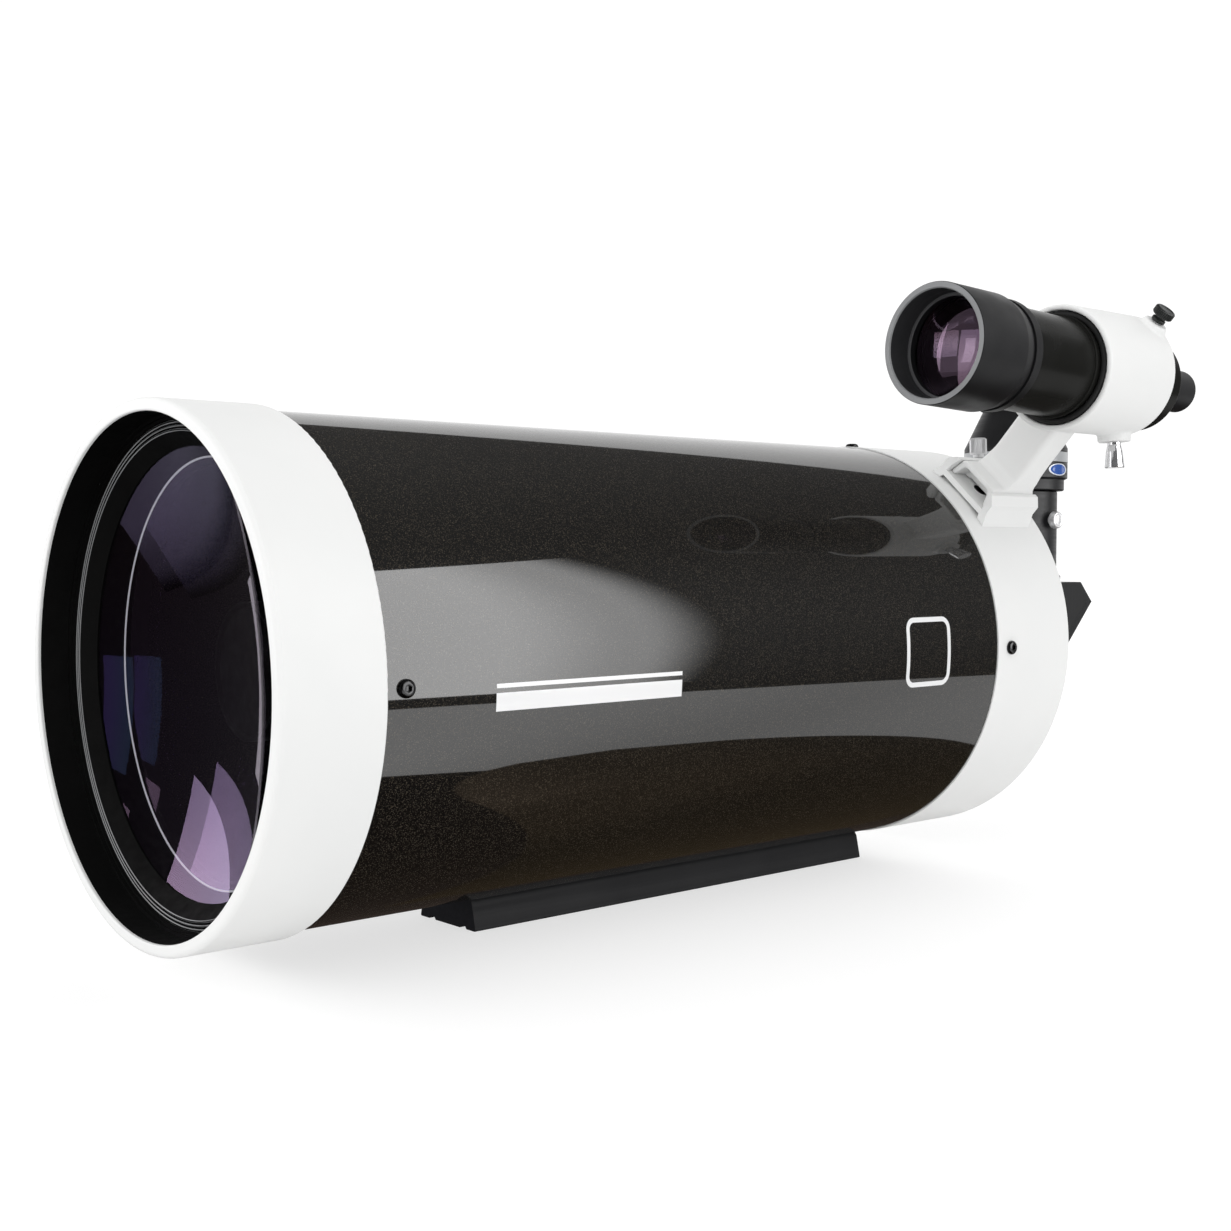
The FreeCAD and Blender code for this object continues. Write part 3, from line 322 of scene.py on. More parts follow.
def finish_of(node):
    """The look of a CAD node and of a detailed piece that stands for it."""
    if node in MATT_NODES:
        return MATT_BLACK
    if node == "finder_tube":
        return FINDER_SKIN
    return UPRIGHT.get(node, LOOKS[SLOTS[node]])


for name in SLOTS:
    node = nodes[name]
    if not node.material_slots:
        node.data.materials.append(finish_of(name))
    for held in node.material_slots:
        held.material = finish_of(name)


# ---- mesh helpers -------------------------------------------------------------------------
# Edges steeper than these stay crisp: on most pieces, on knurled ones, on thin rings and on the finder's barrel.
SHARP, KNURL_SHARP, STEP_SHARP, RIM_SHARP = [math.radians(steep) for steep in (38, 50, 25, 12)]
# softened() rounds edges steeper than ROUND_FROM, once points this near and faces this flat are joined.
ROUND_FROM, WELD_REACH, FLAT_WITHIN = math.radians(32), 1e-6, math.radians(0.6)
# The radius in millimetres that stands for a point on the axis.
ON_AXIS = 0.01


def new_object(name, mesh, looks):
    for look in looks:
        mesh.materials.append(look)
    for polygon in mesh.polygons:
        polygon.use_smooth = True
    made = bpy.data.objects.new(name, mesh)
    bpy.context.collection.objects.link(made)
    return made


def stands_for(piece, node):
    """Puts a detailed piece in place of one CAD node, on the same body."""
    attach(piece, nodes[node]["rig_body"])
    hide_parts(node)
    return piece


def softened(node, width):
    """A copy of a CAD node with its seams welded and its sharp edges rounded."""
    bm = bmesh.new()
    bm.from_mesh(nodes[node].data)
    bmesh.ops.remove_doubles(bm, verts=bm.verts, dist=WELD_REACH)
    bmesh.ops.dissolve_limit(bm, angle_limit=FLAT_WITHIN, verts=bm.verts, edges=bm.edges)
    rough = bpy.data.meshes.new(node + "_welded")
    bm.to_mesh(rough)
    bm.free()
    for polygon in rough.polygons:
        polygon.use_smooth = True
    draft = bpy.data.objects.new(node + "_draft", rough)
    bpy.context.collection.objects.link(draft)
    bevel = draft.modifiers.new("rounding", "BEVEL")
    bevel.width = width
    bevel.segments = 2
    bevel.limit_method = "ANGLE"
    bevel.angle_limit = ROUND_FROM
    bevel.harden_normals = True
    even = draft.modifiers.new("even", "WEIGHTED_NORMAL")
    even.keep_sharp = True
    finished = bpy.data.meshes.new_from_object(draft.evaluated_get(bpy.context.evaluated_depsgraph_get()))
    finished.materials.clear()
    bpy.data.objects.remove(draft)
    return stands_for(new_object(node + "_rounded", finished, [finish_of(node)]), node)


def ring_points(x, radius, count, wave=None):
    """One circle of points about the X axis; wave(turn) takes away from the radius."""
    points = []
    for k in range(count):
        turn = 2 * math.pi * k / count
        r = radius - (wave(turn) if wave else 0.0)
        points.append(Vector((x, r * math.cos(turn), r * math.sin(turn))))
    return points


def hex_points(x, across, count):
    """A hexagon about the X axis with as many points as the circle it joins."""
    points = []
    for k in range(count):
        turn = 2 * math.pi * k / count
        part = (turn + math.pi / 6) % (math.pi / 3) - math.pi / 6
        r = across / 2 / math.cos(part)
        points.append(Vector((x, r * math.cos(turn), r * math.sin(turn))))
    return points


class Solid:
    """Gathers lofted skins into one mesh."""

    def __init__(self):
        self.verts = []
        self.faces = []
        self.looks = []

    def loft(self, rings, closed=False, look=0, place=Matrix.Identity(4)):
        """Joins equal rings of points one after another, with flat ends or closed on itself."""
        base, count = len(self.verts), len(rings[0])
        for points in rings:
            self.verts += [place @ p for p in points]
        last = len(rings) if closed else len(rings) - 1
        for i in range(last):
            a, b = base + i * count, base + (i + 1) % len(rings) * count
            for k in range(count):
                n = (k + 1) % count
                self.faces.append((a + k, a + n, b + n, b + k))
                self.looks.append(look(i) if callable(look) else look)
        if not closed:
            for start in (base, base + last * count):
                self.faces.append(tuple(range(start, start + count)))
                self.looks.append(look(0) if callable(look) else look)

    def make(self, name, looks, sharp=SHARP):
        mesh = bpy.data.meshes.new(name)
        mesh.from_pydata([tuple(v) for v in self.verts], [], self.faces)
        for polygon, look in zip(mesh.polygons, self.looks):
            polygon.material_index = look
        bm = bmesh.new()
        bm.from_mesh(mesh)
        bmesh.ops.recalc_face_normals(bm, faces=bm.faces)
        bm.to_mesh(mesh)
        bm.free()
        made = new_object(name, mesh, looks)
        mesh.set_sharp_from_angle(angle=sharp)
        return made


def eased(outline, radius, closed=True):
    """An outline with its corners rounded, each no more than the sides beside it allow."""
    steps, side_share = 3, 0.42
    points = [Vector(p) for p in outline]
    total, out = len(points), []
    for i, corner in enumerate(points):
        if not closed and i in (0, total - 1):
            out.append(corner)
            continue
        before, after = points[i - 1] - corner, points[(i + 1) % total] - corner
        reach = min(radius, side_share * before.length, side_share * after.length)
        a, b = corner + before.normalized() * reach, corner + after.normalized() * reach
        for k in range(steps + 1):
            t = k / steps
            out.append(a * (1 - t) ** 2 + corner * 2 * t * (1 - t) + b * t ** 2)
    return out


def turned(outline, count, ease, place, waves=None):
    """A solid of revolution from a closed (x, r) outline in millimetres, with its corners eased."""
    points = eased(outline, ease)
    made = Solid()
    made.loft([ring_points(p.x * MM, p.y * MM, count, waves(p) if waves else None) for p in points],
              closed=True, place=place)
    return made


def aim(origin, direction):
    """Places a shape drawn along +X so that it starts at origin and points in direction."""
    return Matrix.Translation(origin) @ X_AXIS.rotation_difference(Vector(direction)).to_matrix().to_4x4()


def optical(x):
    """The frame of the optical axis, with x in metres from the front rim."""
    return Matrix.Translation(Vector((FRONT_X + x, 0, 0)) + AXIS)


def flutes(number, depth, share):
    """A wave of rounded flutes round a grip."""
    def wave(turn):
        part = math.sin(number * turn / 2) ** 2
        return depth * max(0.0, part - share) / (1 - share)
    return wave


def knurl(number, depth):
    """A wave of sharp vee teeth, with four points to a tooth."""
    def wave(turn):
        part = turn * number / (2 * math.pi) % 1.0
        return depth * abs(2 * part - 1)
    return wave


# ---- pieces that keep their shape and get rounded edges -------------------------------------
ROUNDING = {
    0.5: ["rear_cell"],
    0.4: ["dovetail_bar", "finder_shoe", "diagonal_housing", "diagonal_back_plate", "focus_knob",
          "diagonal_nosepiece"],
    0.3: ["eyepiece_holder", "visual_back", "eyepiece_body", "finder_tube", "finder_lock_ring",
          "finder_eyepiece", "focus_bush", "eyepiece_barrel"],
    0.12: ["collimation_screws", "dovetail_screws", "diagonal_plate_screws", "shoe_screws", "corrector_cell",
           "eyepiece_trim_ring"],
}
for width, names in ROUNDING.items():
    for name in names:
        softened(name, width * MM)


def cast(node, grain, passes):
    """A copy of a CAD node with the soft edges and corners of a painted casting."""
    draft = bpy.data.objects.new(node + "_draft", nodes[node].data.copy())
    bpy.context.collection.objects.link(draft)
    remesh = draft.modifiers.new("grain", "REMESH")
    remesh.mode = "VOXEL"
    remesh.voxel_size = grain
    smooth = draft.modifiers.new("smooth", "SMOOTH")
    smooth.factor = 0.5
    smooth.iterations = passes
    finished = bpy.data.meshes.new_from_object(draft.evaluated_get(bpy.context.evaluated_depsgraph_get()))
    finished.materials.clear()
    bpy.data.objects.remove(draft)
    return stands_for(new_object(node + "_cast", finished, [LOOKS[SLOTS[node]]]), node)


cast("finder_bracket", 0.65 * MM, 8)


# ---- tube ---------------------------------------------------------------------------------
def lacquered_tube():
    start, end = (tube_low.x - FRONT_X) / MM, (tube_high.x - FRONT_X) / MM
    outer = TUBE_RADIUS / MM
    rings = []
    for x, r in ((start, outer - 1.6), (end, outer - 1.6), (end, outer), (start, outer)):
        rings.append(ring_points(x * MM, r * MM, 256))
    made = Solid()
    made.loft(rings, closed=True, place=optical(0))
    return stands_for(made.make("tube_skin", [LOOKS["black_lacquer"]]), "main_tube")


PRINT_BASE, PRINT_RISE = 0.01 * MM, 0.06 * MM


def tube_point(x, angle, lift):
    """A point lift metres off the tube, x mm behind the front rim and angle degrees above its near side."""
    turn = math.radians(angle)
    return Vector((x * MM, 0, 0)) + Vector((0, -math.cos(turn), math.sin(turn))) * (TUBE_RADIUS + lift)


def printed(made, name):
    piece = made.make(name, [PRINT])
    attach(piece, "tube_assembly")
    return piece


def printed_stripe(name, x_start, x_end, angle_start, angle_end):
    """A thin printed stripe along the tube, as a closed curved plate."""
    made, rings, steps = Solid(), [], 24
    for k in range(steps + 1):
        angle = angle_start + (angle_end - angle_start) * k / steps
        rings.append([tube_point(x_start, angle, PRINT_BASE), tube_point(x_end, angle, PRINT_BASE),
                      tube_point(x_end, angle, PRINT_RISE), tube_point(x_start, angle, PRINT_RISE)])
    made.loft(rings, place=optical(0))
    return printed(made, name)


def printed_frame(name, x_middle, angle_middle, half, border, corner):
    """A printed outline of a square with rounded corners."""
    made, rings, per_corner, per_side = Solid(), [], 10, 10
    for quarter in range(4):
        start = math.pi / 2 * quarter
        middle = start + math.pi / 4
        reach = (half - corner) * math.sqrt(2)
        hub = Vector((reach * math.cos(middle), reach * math.sin(middle)))
        arc = [(hub, start + math.pi / 2 * k / per_corner) for k in range(per_corner)]
        step = Vector((-math.sin(start + math.pi / 2), math.cos(start + math.pi / 2))) * 2 * (half - corner)
        side = [(hub + step * k / per_side, start + math.pi / 2) for k in range(per_side)]
        for base, turn in arc + side:
            section = []
            for inset in (0.0, border):
                spot = base + Vector((math.cos(turn), math.sin(turn))) * (corner - inset)
                section.append((x_middle + spot.x, angle_middle + math.degrees(spot.y * MM / TUBE_RADIUS)))
            (x0, a0), (x1, a1) = section
            rings.append([tube_point(x0, a0, PRINT_BASE), tube_point(x1, a1, PRINT_BASE),
                          tube_point(x1, a1, PRINT_RISE), tube_point(x0, a0, PRINT_RISE)])
    made.loft(rings, closed=True, place=optical(0))
    return printed(made, name)


lacquered_tube()
printed_stripe("tube_stripe_wide", 94, 191, -6.0, -2.2)
printed_stripe("tube_stripe_thin", 94, 191, -1.2, -0.3)
printed_frame("tube_frame", 357, 0.3, 17.0, 2.4, 6.0)


# ---- corrector ----------------------------------------------------------------------------
def arc_heights(radius, curve, count):
    """(height above the edge's plane, distance from the axis) down a spherical face, from its edge inward."""
    edge = curve - math.sqrt(curve * curve - radius * radius)
    rows = []
    for k in range(count):
        r = radius * math.cos(math.pi / 2 * k / count)
        rows.append((edge - curve + math.sqrt(curve * curve - r * r), r))
    return rows


def corrector_lens():
    """A deep meniscus: polished faces, a ground rim and small ground chamfers."""
    low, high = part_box("corrector_lens")
    radius = (high.z - low.z) / 2 / MM
    front_edge = (low.x - FRONT_X) / MM
    chamfer, thickness, front_curve, rear_curve, steps = 0.7, 19.9, 250.0, 258.4, 28
    front = [(front_edge + h, r) for h, r in arc_heights(radius - chamfer, front_curve, steps)]
    rear_edge = front_edge + thickness
    rear = [(rear_edge + h, r) for h, r in arc_heights(radius - chamfer, rear_curve, steps)]
    rim = [(front_edge + chamfer, radius), (rear_edge - chamfer, radius)]
    outline = list(reversed(front)) + rim + rear
    outline = [(outline[0][0], ON_AXIS)] + outline + [(outline[-1][0], ON_AXIS)]
    made = Solid()
    first_edge = len(front)
    # The front chamfer and rim rows are blacked; the rear chamfer row takes the painted glow.
    edge_looks = {first_edge: 2, first_edge + 1: 2, first_edge + 2: 1}
    made.loft([ring_points(x * MM, r * MM, 192) for x, r in outline],
              look=lambda i: edge_looks.get(i, 0), place=optical(0))
    piece = made.make("corrector_glass", [LOOKS["optical_glass"], PAINTED_GLOW_CHAMFER, BLACKED])
    return stands_for(piece, "corrector_lens")


def retaining_ring():
    """The ring in front of the corrector; its grip ridges carry a painted highlight, a pale grey band along
    their edges all round.
    """
    outline = [(22.3, 101.5), (16.3, 101.5), (16.0, 101.2)]
    # Painted highlight: these rows take the pale grey look all round, standing in for light caught on the ridge
    # edges.
    bright = [1]
    for middle in (99.9, 98.3):
        bright += [len(outline), len(outline) + 4]
        outline += [(16.0, middle + 0.72), (16.3, middle + 0.42), (16.9, middle + 0.3),
                    (16.9, middle - 0.3), (16.3, middle - 0.42), (16.0, middle - 0.72)]
    bright.append(len(outline))
    outline += [(16.0, 97.2), (16.3, 96.9), (17.6, 95.2), (21.7, 91.3), (22.3, 91.3)]
    made = Solid()
    made.loft([ring_points(x * MM, r * MM, 192) for x, r in outline], closed=True,
              look=lambda i: 1 if i in bright else 0, place=optical(0))
    piece = made.make("corrector_ring", [MATT_BLACK, RIM_PAINTED_HIGHLIGHT], STEP_SHARP)
    return stands_for(piece, "corrector_retaining_ring")


corrector_lens()
retaining_ring()


# ---- screws -------------------------------------------------------------------------------
def button_head(made, place):
    """A domed screw with a hexagon socket, its seat at x = 0."""
    count, dome_base, dome_height = 48, 0.7, 1.4
    rings = [ring_points(x * MM, r * MM, count)
             for x, r in ((-5.0, 1.9), (0, 1.95), (0, 3.5), (0.25, 3.6), (dome_base, 3.55))]
    for k in range(1, 6):
        lift = math.radians(15 * k)
        rings.append(ring_points((dome_base + dome_height * math.sin(lift)) * MM,
                                 (1.75 + 1.8 * math.cos(lift)) * MM, count))
    rings += [ring_points(2.1 * MM, 1.72 * MM, count), hex_points(2.02 * MM, 2.6 * MM, count),
              hex_points(0.8 * MM, 2.5 * MM, count)]
    made.loft(rings, place=place)


def button_screws(node, x, seat):
    """Four domed screws round the tube, x mm behind the front rim, on a seat of that radius."""
    made = Solid()
    for k in range(4):
        turn = math.pi / 2 * k
        out = Vector((0, math.cos(turn), math.sin(turn)))
        button_head(made, aim(Vector((FRONT_X + x * MM, 0, 0)) + AXIS + out * seat * MM, out))
    return stands_for(made.make(node + "_domed", [LOOKS[SLOTS[node]]]), node)


button_screws("front_screws", 53.0, 107.0)
button_screws("rear_screws", 423.7, 107.6)


TOOTH_POINTS = 4


def knurled_screw(node, joint, outline, grip, teeth, depth):
    """A thumb screw about its joint's axis; grip gives where along it the teeth are cut."""
    axis = Vector(joints[joint]["axis"])
    origin = Vector(joints[joint]["pos_m"])
    waves = knurl(teeth, depth * MM)

    def chosen(p):
        return waves if grip[0] < p.x < grip[1] and p.y > grip[2] else None

    made = Solid()
    points = eased(outline, 0.35, closed=False)
    count = teeth * TOOTH_POINTS
    made.loft([ring_points(p.x * MM, max(p.y, ON_AXIS) * MM, count, chosen(p)) for p in points],
              place=aim(origin, axis))
    return stands_for(made.make(node + "_knurled", [LOOKS[SLOTS[node]]], KNURL_SHARP), node)


def head_outline(tip, seat, radius, length, dome=0.5):
    """Stem, collar and head of a thumb screw, from its tip to the middle of its domed face."""
    base = seat + 2.0
    face = base + length - 0.3
    return [(tip, 0), (tip, 1.6), (tip + 0.4, 1.95), (seat + 0.3, 1.95), (seat + 0.3, 2.9), (base, 2.9),
            (base, radius - 0.6), (base + 0.6, radius), (base + length - 0.7, radius),
            (base + length, radius - 0.8), (base + length, radius - 1.4), (face, radius - 2.0),
            (face + dome * 0.6, radius * 0.3), (face + dome * 0.6, 0)]


knurled_screw("shoe_thumb_screw", "shoe_screw_turn", head_outline(-3.5, 0.5, 4.6, 8.8),
              (3.0, 11.0, 4.0), 36, 0.35)
knurled_screw("visual_back_thumb_screw", "visual_back_screw_turn", head_outline(27.0, 33.0, 5.5, 7.0),
              (35.4, 41.6, 4.8), 36, 0.35)
knurled_screw("holder_thumb_screw_side", "holder_screw_side_turn", head_outline(16.2, 25.5, 5.2, 4.5, 1.0),
              (27.9, 31.5, 4.6), 36, 0.3)
knurled_screw("holder_thumb_screw_rear", "holder_screw_rear_turn", head_outline(16.2, 25.5, 4.2, 3.0),
              (27.9, 30.1, 3.6), 30, 0.3)


def adjuster_knob(letter):
    """The hollow-faced plastic knob of one finder adjusting screw."""
    node, joint = "adjuster_knob_" + letter, "adjuster_" + letter + "_spin"
    outline = [(35.0, 2.06), (35.0, 3.4), (35.3, 3.7), (36.7, 3.7), (37.1, 3.0), (37.7, 2.7), (38.2, 3.0),
               (38.3, 4.9), (38.9, 5.5), (41.9, 5.5), (42.5, 4.9), (42.6, 4.0), (42.3, 3.6), (42.3, ON_AXIS),
               (40.2, ON_AXIS), (40.2, 2.06)]
    axis = Vector(joints[joint]["axis"])
    origin = Vector(joints[joint]["pos_m"])
    waves = knurl(32, 0.4 * MM)
    piece = turned(outline, 128, 0.2, aim(origin, axis),
                   lambda p: waves if 38.5 < p.x < 42.2 and p.y > 5.0 else None)
    return stands_for(piece.make(node + "_knurled", [LOOKS["black_nylon"]], KNURL_SHARP), node)


adjuster_knob("a")
adjuster_knob("b")


# ---- finder -------------------------------------------------------------------------------
def finder_frame():
    """The finder's own axis, from its focusing joint: x = 0 at the O-ring, +X towards its eyepiece."""
    pivot = Vector(joints["finder_tilt_a"]["pos_m"])
    return aim(pivot, -Vector(joints["finder_focus"]["axis"]))


FINDER = finder_frame()


def finder_cell():
    """The wide front barrel, with a painted highlight on its front rim and a stepped inside."""
    outline = [(-100.2, 25.8), (-99.6, 25.3), (-74.6, 25.3), (-74.6, 23.2), (-72.6, 23.2), (-72.6, 25.05),
               (-58.0, 25.05), (-58.0, 26.3), (-58.25, 26.5), (-65.6, 28.3), (-66.4, 28.46), (-99.9, 28.46),
               (-100.2, 28.2)]
    made = Solid()
    made.loft([ring_points(x * MM, r * MM, 160) for x, r in outline], closed=True,
              # The front rim rows, the first and the last, take the painted highlight.
              look=lambda i: {0: 1, 1: 2, len(outline) - 1: 1}.get(i, 0), place=FINDER)
    looks = [LOOKS["black_satin"], RIM_PAINTED_HIGHLIGHT, DARK_BORE]
    piece = made.make("finder_front_barrel", looks, RIM_SHARP)
    return stands_for(piece, "finder_objective_cell")


def finder_lens():
    """The finder's objective: both faces bulge, and its rim is blackened."""
    radius, bulge, edge_front, edge_rear = 24.98, 2.4, -82.6, -77.4
    curve = (radius * radius + bulge * bulge) / (2 * bulge)
    rows = arc_heights(radius, curve, 20)
    front = [(edge_front - h, r) for h, r in rows]
    rear = [(edge_rear + h, r) for h, r in rows]
    outline = [(front[-1][0], ON_AXIS)] + list(reversed(front)) + rear + [(rear[-1][0], ON_AXIS)]
    made = Solid()
    made.loft([ring_points(x * MM, r * MM, 128) for x, r in outline],
              look=lambda i: 1 if i == len(front) else 0, place=FINDER)
    return stands_for(made.make("finder_front_glass", [FINDER_GLASS, BLACKED]), "finder_objective_lens")


def finder_lens_ring():
    """The thin ring that holds the finder's objective, with a painted highlight: its front edge is a lighter
    grey.
    """
    outline = [(-87.0, 24.0), (-86.7, 23.7), (-83.2, 23.7), (-83.2, 25.2), (-87.0, 25.2)]
    made = Solid()
    made.loft([ring_points(x * MM, r * MM, 128) for x, r in outline], closed=True,
              # Rows 0 and 4, the front edge, take the painted highlight.
              look=lambda i: 1 if i in (0, 4) else 0, place=FINDER)
    piece = made.make("finder_lens_ring", [LOOKS["black_satin"], RING_EDGE_PAINTED_HIGHLIGHT], STEP_SHARP)
    return stands_for(piece, "finder_objective_ring")


finder_cell()
finder_lens()
finder_lens_ring()


# ---- eyepiece and focus knob ----------------------------------------------------------------
barrel_low, barrel_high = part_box("eyepiece_barrel")
EYEPIECE = aim(Vector(((barrel_low.x + barrel_high.x) / 2, 0, AXIS.z)), (0, 0, 1))


def eyecup():
    """The soft cup round the eye lens, with two grip grooves and a rolled lip."""
    outline = [(136.9, 20.4), (141.0, 19.1), (155.6, 19.1), (157.2, 19.5), (158.0, 20.3), (158.0, 21.3),
               (157.2, 22.1), (155.8, 22.3), (150.2, 22.3), (149.6, 21.8), (148.4, 21.8), (147.8, 22.3),
               (145.2, 22.3), (144.6, 21.8), (143.4, 21.8), (142.8, 22.3), (138.0, 22.4), (136.9, 21.6)]
    piece = turned(outline, 128, 0.5, EYEPIECE).make("rubber_eyecup", [LOOKS["black_rubber"]])
    return stands_for(piece, "eyepiece_eyecup")


def badge():
    """A plain oval plate bent round the eyepiece: blue enamel inside a pale raised border."""
    low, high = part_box("eyepiece_badge")
    middle, centre = (low + high) / 2, Vector((EYEPIECE.translation.x, 0, 0))
    out = Vector((middle.x - centre.x, middle.y, 0)).normalized()
    across = Vector((-out.y, out.x, 0))
    base, half_wide, half_tall = 31.56 * MM, 9.2 * MM, (high.z - low.z) / 2
    made, count = Solid(), 72

    def oval(share, lift):
        points = []
        for k in range(count):
            turn = 2 * math.pi * k / count
            swing = half_wide * share * math.cos(turn) / base
            side = out * math.cos(swing) + across * math.sin(swing)
            points.append(centre + side * (base + lift * MM)
                          + Vector((0, 0, middle.z + half_tall * share * math.sin(turn))))
        return points

    rings = [oval(1.0, 0.0), oval(1.0, 0.24), oval(0.97, 0.32), oval(0.87, 0.32), oval(0.84, 0.2)]
    rings += [oval(share, 0.2) for share in (0.6, 0.3, 0.02)]
    made.loft(rings, look=lambda i: 1 if i < 4 else 0)
    piece = made.make("eyepiece_badge_plate", [LOOKS["badge_enamel"], PALE_ENAMEL])
    return stands_for(piece, "eyepiece_badge")


def focus_grip():
    """The ribbed rubber band on the focus knob."""
    axis = Vector(joints["focus_knob_spin"]["axis"])
    origin = Vector(joints["focus_knob_spin"]["pos_m"])
    origin.x = FRONT_X
    waves = flutes(24, 0.9 * MM, 0.45)
    outline = [(488.5, 16.1), (488.5, 18.9), (489.1, 19.5), (505.9, 19.5), (506.5, 18.9), (506.5, 16.1)]
    piece = turned(outline, 240, 0.25, aim(origin, axis), lambda p: waves if p.y > 18.0 else None)
    return stands_for(piece.make("focus_grip_ribbed", [LOOKS["black_rubber"]]), "focus_knob_grip")


def slip_collar():
    """The knurled collar that holds the visual back to the hub."""
    outline = [(479.5, 34.05), (492.2, 34.05), (496.0, 30.4), (497.4, 30.4), (497.4, 35.3), (494.6, 38.1),
               (494.0, 38.4), (482.0, 38.4), (481.0, 38.0), (479.5, 36.9)]
    waves = knurl(96, 0.45 * MM)
    piece = turned(outline, 384, 0.25, optical(0),
                   lambda p: waves if 482.1 < p.x < 493.9 and p.y > 38 else None)
    return stands_for(piece.make("slip_collar", [LOOKS["black_anodised"]], KNURL_SHARP), "slip_ring")


eyecup()
badge()
focus_grip()
slip_collar()


# ---- stage --------------------------------------------------------------------------------
def sky_point(azimuth, height, distance):
    """A point at this azimuth and height, both in degrees."""
    a, e = math.radians(azimuth), math.radians(height)
    return Vector((math.cos(e) * math.cos(a), math.cos(e) * math.sin(a), math.sin(e))) * distance


def glow(name, stops, strength, axis="X"):
    """An emitting surface whose colour follows its own width or height."""
    mat = bpy.data.materials.new(name)
    mat.use_nodes = True
    tree = mat.node_tree
    tree.nodes.clear()
    out = tree.nodes.new("ShaderNodeOutputMaterial")
    emission = tree.nodes.new("ShaderNodeEmission")
    emission.inputs["Strength"].default_value = strength
    ramp = tree.nodes.new("ShaderNodeValToRGB")
    ramp.color_ramp.interpolation = "EASE"
    while len(ramp.color_ramp.elements) < len(stops):
        ramp.color_ramp.elements.new(0.5)
    for element, (position, colour) in zip(ramp.color_ramp.elements, stops):
        element.position = position
        element.color = (*colour, 1.0)
    split = tree.nodes.new("ShaderNodeSeparateXYZ")
    uv = tree.nodes.new("ShaderNodeUVMap")
    tree.links.new(uv.outputs["UV"], split.inputs["Vector"])
    tree.links.new(split.outputs[axis], ramp.inputs["Fac"])
    tree.links.new(ramp.outputs["Color"], emission.inputs["Color"])
    tree.links.new(emission.outputs["Emission"], out.inputs["Surface"])
    return mat


def only_reflected(card):
    card.visible_camera = False
    card.visible_diffuse = False
    card.visible_shadow = False
    card.visible_volume_scatter = False
    return card


def mapped_grid(name, verts, coords, columns, rows, mat):
    """A grid of faces with one pair of map coordinates to each point, which only reflections see."""
    faces = []
    for j in range(rows):
        for i in range(columns):
            a = j * (columns + 1) + i
            faces.append((a, a + 1, a + columns + 2, a + columns + 1))
    mesh = bpy.data.meshes.new(name)
    mesh.from_pydata([tuple(v) for v in verts], [], faces)
    layer = mesh.uv_layers.new(name="UVMap")
    for loop in mesh.loops:
        layer.data[loop.index].uv = coords[loop.vertex_index]
    return only_reflected(new_object(name, mesh, [mat]))


def studio_card(name, azimuths, heights, mat, distance=6.0, lean=0.0, columns=24, rows=12, centre=AXIS):
    """A curved card round the object; its top leans sideways by lean degrees."""
    verts, coords = [], []
    for j in range(rows + 1):
        for i in range(columns + 1):
            u, v = i / columns, j / rows
            edge = azimuths[1] + lean * v * v
            verts.append(sky_point(azimuths[0] + (edge - azimuths[0]) * u,
                                   heights[0] + (heights[1] - heights[0]) * v, distance) + centre)
            coords.append((u, v))
    return mapped_grid(name, verts, coords, columns, rows, mat)


def table_top(centre, radius, height, near, mat):
    """A brown table well below the object, round at its far end and darker nearby."""
    verts, coords, rows, columns = [], [], 32, 24
    darkening = 0.9 / 0.4
    for j in range(rows + 1):
        y = centre[1] - radius + (near - centre[1] + radius) * j / rows
        back = min(0.0, y - centre[1])
        half = math.sqrt(max(0.0, radius * radius - back * back))
        for i in range(columns + 1):
            x = centre[0] + half * (2 * i / columns - 1)
            verts.append((x, y, height))
            across = (x - centre[0]) / radius / 2 + 0.5
            coords.append((across + darkening * max(0.0, y - centre[1]), 0.5))
    return mapped_grid("table_top", verts, coords, columns, rows, mat)


floor_look = Shader("floor_paper")
floor_look.colour(floor_look.ramp(floor_look.noise(3.0, 2.0),
                                  [(0.3, (0.38, 0.38, 0.38)), (0.7, (0.4, 0.4, 0.4))]))
floor_look.set(Roughness=0.9, Specular_IOR_Level=0.1, Emission_Color=(1.0, 1.0, 1.0, 1.0),
               Emission_Strength=0.66)
SPAN = 14.0
floor_mesh = bpy.data.meshes.new("floor")
floor_mesh.from_pydata([(-SPAN, -SPAN, 0), (SPAN, -SPAN, 0), (SPAN, SPAN, 0), (-SPAN, SPAN, 0)], [],
                       [(0, 1, 2, 3)])
floor = new_object("floor", floor_mesh, [floor_look.mat])
floor.visible_glossy = False
floor.visible_transmission = False

white, black = (1.0, 1.0, 1.0), (0.0, 0.0, 0.0)
plain = [(0.0, white), (1.0, white)]
studio_card("dome", (-180, 180), (-89.5, 89.5),
            glow("dome_glow",
                 [(0.0, (0.03, 0.02, 0.012)), (0.36, (0.04, 0.03, 0.025)), (0.5, (0.06, 0.06, 0.06)),
                  (0.70, (0.05, 0.05, 0.05)), (0.86, (0.2, 0.2, 0.2))], 1.0, "Y"), 9.0, 0.0, 64, 32)
studio_card("backdrop_card", (-21, 100), (-9, 35), glow("backdrop_glow", plain, 1.0), 6.5)
studio_card("softbox_card", (-104, -46.5), (-9, 38),
            glow("softbox_glow",
                 [(0.0, (0.7, 0.7, 0.7)), (0.84, white), (0.94, (0.6, 0.6, 0.6)), (1.0, black)], 7.0), 6.0, 8.0)
studio_card("floor_card", (-125, -14), (-37, -12.5),
            glow("floor_card_glow", [(0.0, white), (0.62, (0.95, 0.95, 0.95)), (0.8, (0.5, 0.5, 0.5)),
                                     (1.0, (0.36, 0.36, 0.36))], 2.7))
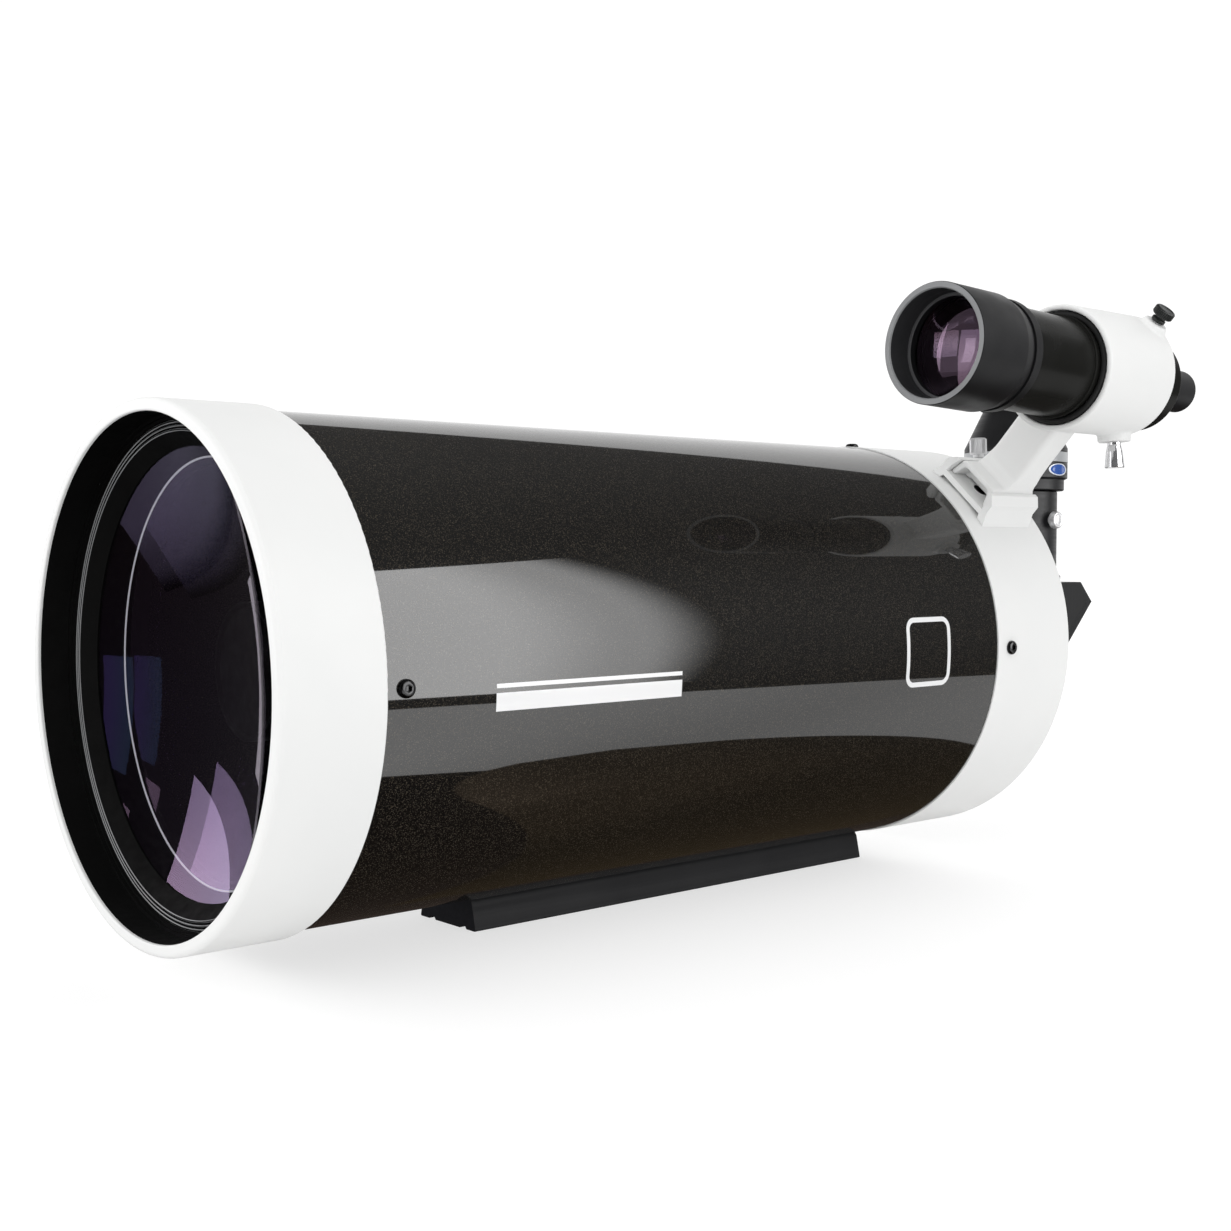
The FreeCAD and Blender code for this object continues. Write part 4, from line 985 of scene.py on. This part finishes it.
table_top((0.614, -0.376), 0.344, -0.5, 0.5,
          glow("table_glow",
               [(0.0, (0.30, 0.22, 0.15)), (0.35, (0.14, 0.10, 0.06)), (1.0, (0.05, 0.036, 0.02))], 1.0))
studio_card("far_table_card", (103, 147), (-24, -9.5),
            glow("far_table_glow", [(0.0, (0.75, 0.78, 1.0)), (0.6, (0.8, 0.85, 1.0)), (0.85, (0.4, 0.42, 0.5)),
                                     (1.0, black)], 0.6, "Y"), 6.0, -10.0)
studio_card("window_card", (100, 130), (2.5, 14),
            glow("window_glow", [(0.0, (0.5, 0.45, 0.58)), (1.0, (1.0, 0.85, 0.95))], 4.2, "Y"))
studio_card("strip_card", (104.5, 109.5), (-7.5, -1.5), glow("strip_glow", plain, 1.8))
studio_card("slit_card", (148, 155), (-4.5, 6),
            glow("slit_glow", [(0.0, (0.3, 0.55, 0.7)), (1.0, (0.42, 0.42, 0.9))], 0.7))
finder_low, finder_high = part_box("finder_objective_lens")
BY_FINDER = (finder_low + finder_high) / 2
studio_card("finder_room_card", (110, 168), (-0.5, 32), glow("finder_room_glow", plain, 0.45), 1.15,
            centre=BY_FINDER)
studio_card("finder_window_left", (118, 136), (2, 23),
            glow("finder_left_glow",
                 [(0.0, (0.7, 0.7, 0.7)), (0.3, white), (1.0, (0.75, 0.75, 0.75))], 3.0, "Y"),
            1.0, 2.0, centre=BY_FINDER)
studio_card("finder_window_right", (146, 175), (-6, 17),
            glow("finder_right_glow",
                 [(0.0, (0.55, 0.5, 0.5)), (0.5, white), (1.0, (0.7, 0.7, 0.75))], 2.6, "Y"),
            1.0, centre=BY_FINDER)

# The sky is brighter towards -X, in front of the tube. Reflections and glass don't see it.
SKY_IN_FRONT, SKY_BEHIND = 1.5, 1.07
world = bpy.data.worlds.new("studio")
bpy.context.scene.world = world
world.use_nodes = True
background = world.node_tree.nodes["Background"]
background.inputs["Color"].default_value = (1.0, 1.0, 1.0, 1.0)
facing = world.node_tree.nodes.new("ShaderNodeTexCoord")
split_sky = world.node_tree.nodes.new("ShaderNodeSeparateXYZ")
sky_level = world.node_tree.nodes.new("ShaderNodeMapRange")
sky_level.inputs["From Min"].default_value = -1.0
sky_level.inputs["From Max"].default_value = 0.0
sky_level.inputs["To Min"].default_value = SKY_IN_FRONT
sky_level.inputs["To Max"].default_value = SKY_BEHIND
world.node_tree.links.new(facing.outputs["Generated"], split_sky.inputs["Vector"])
world.node_tree.links.new(split_sky.outputs["X"], sky_level.inputs["Value"])
world.node_tree.links.new(sky_level.outputs["Result"], background.inputs["Strength"])
world.cycles_visibility.glossy = False
world.cycles_visibility.transmission = False
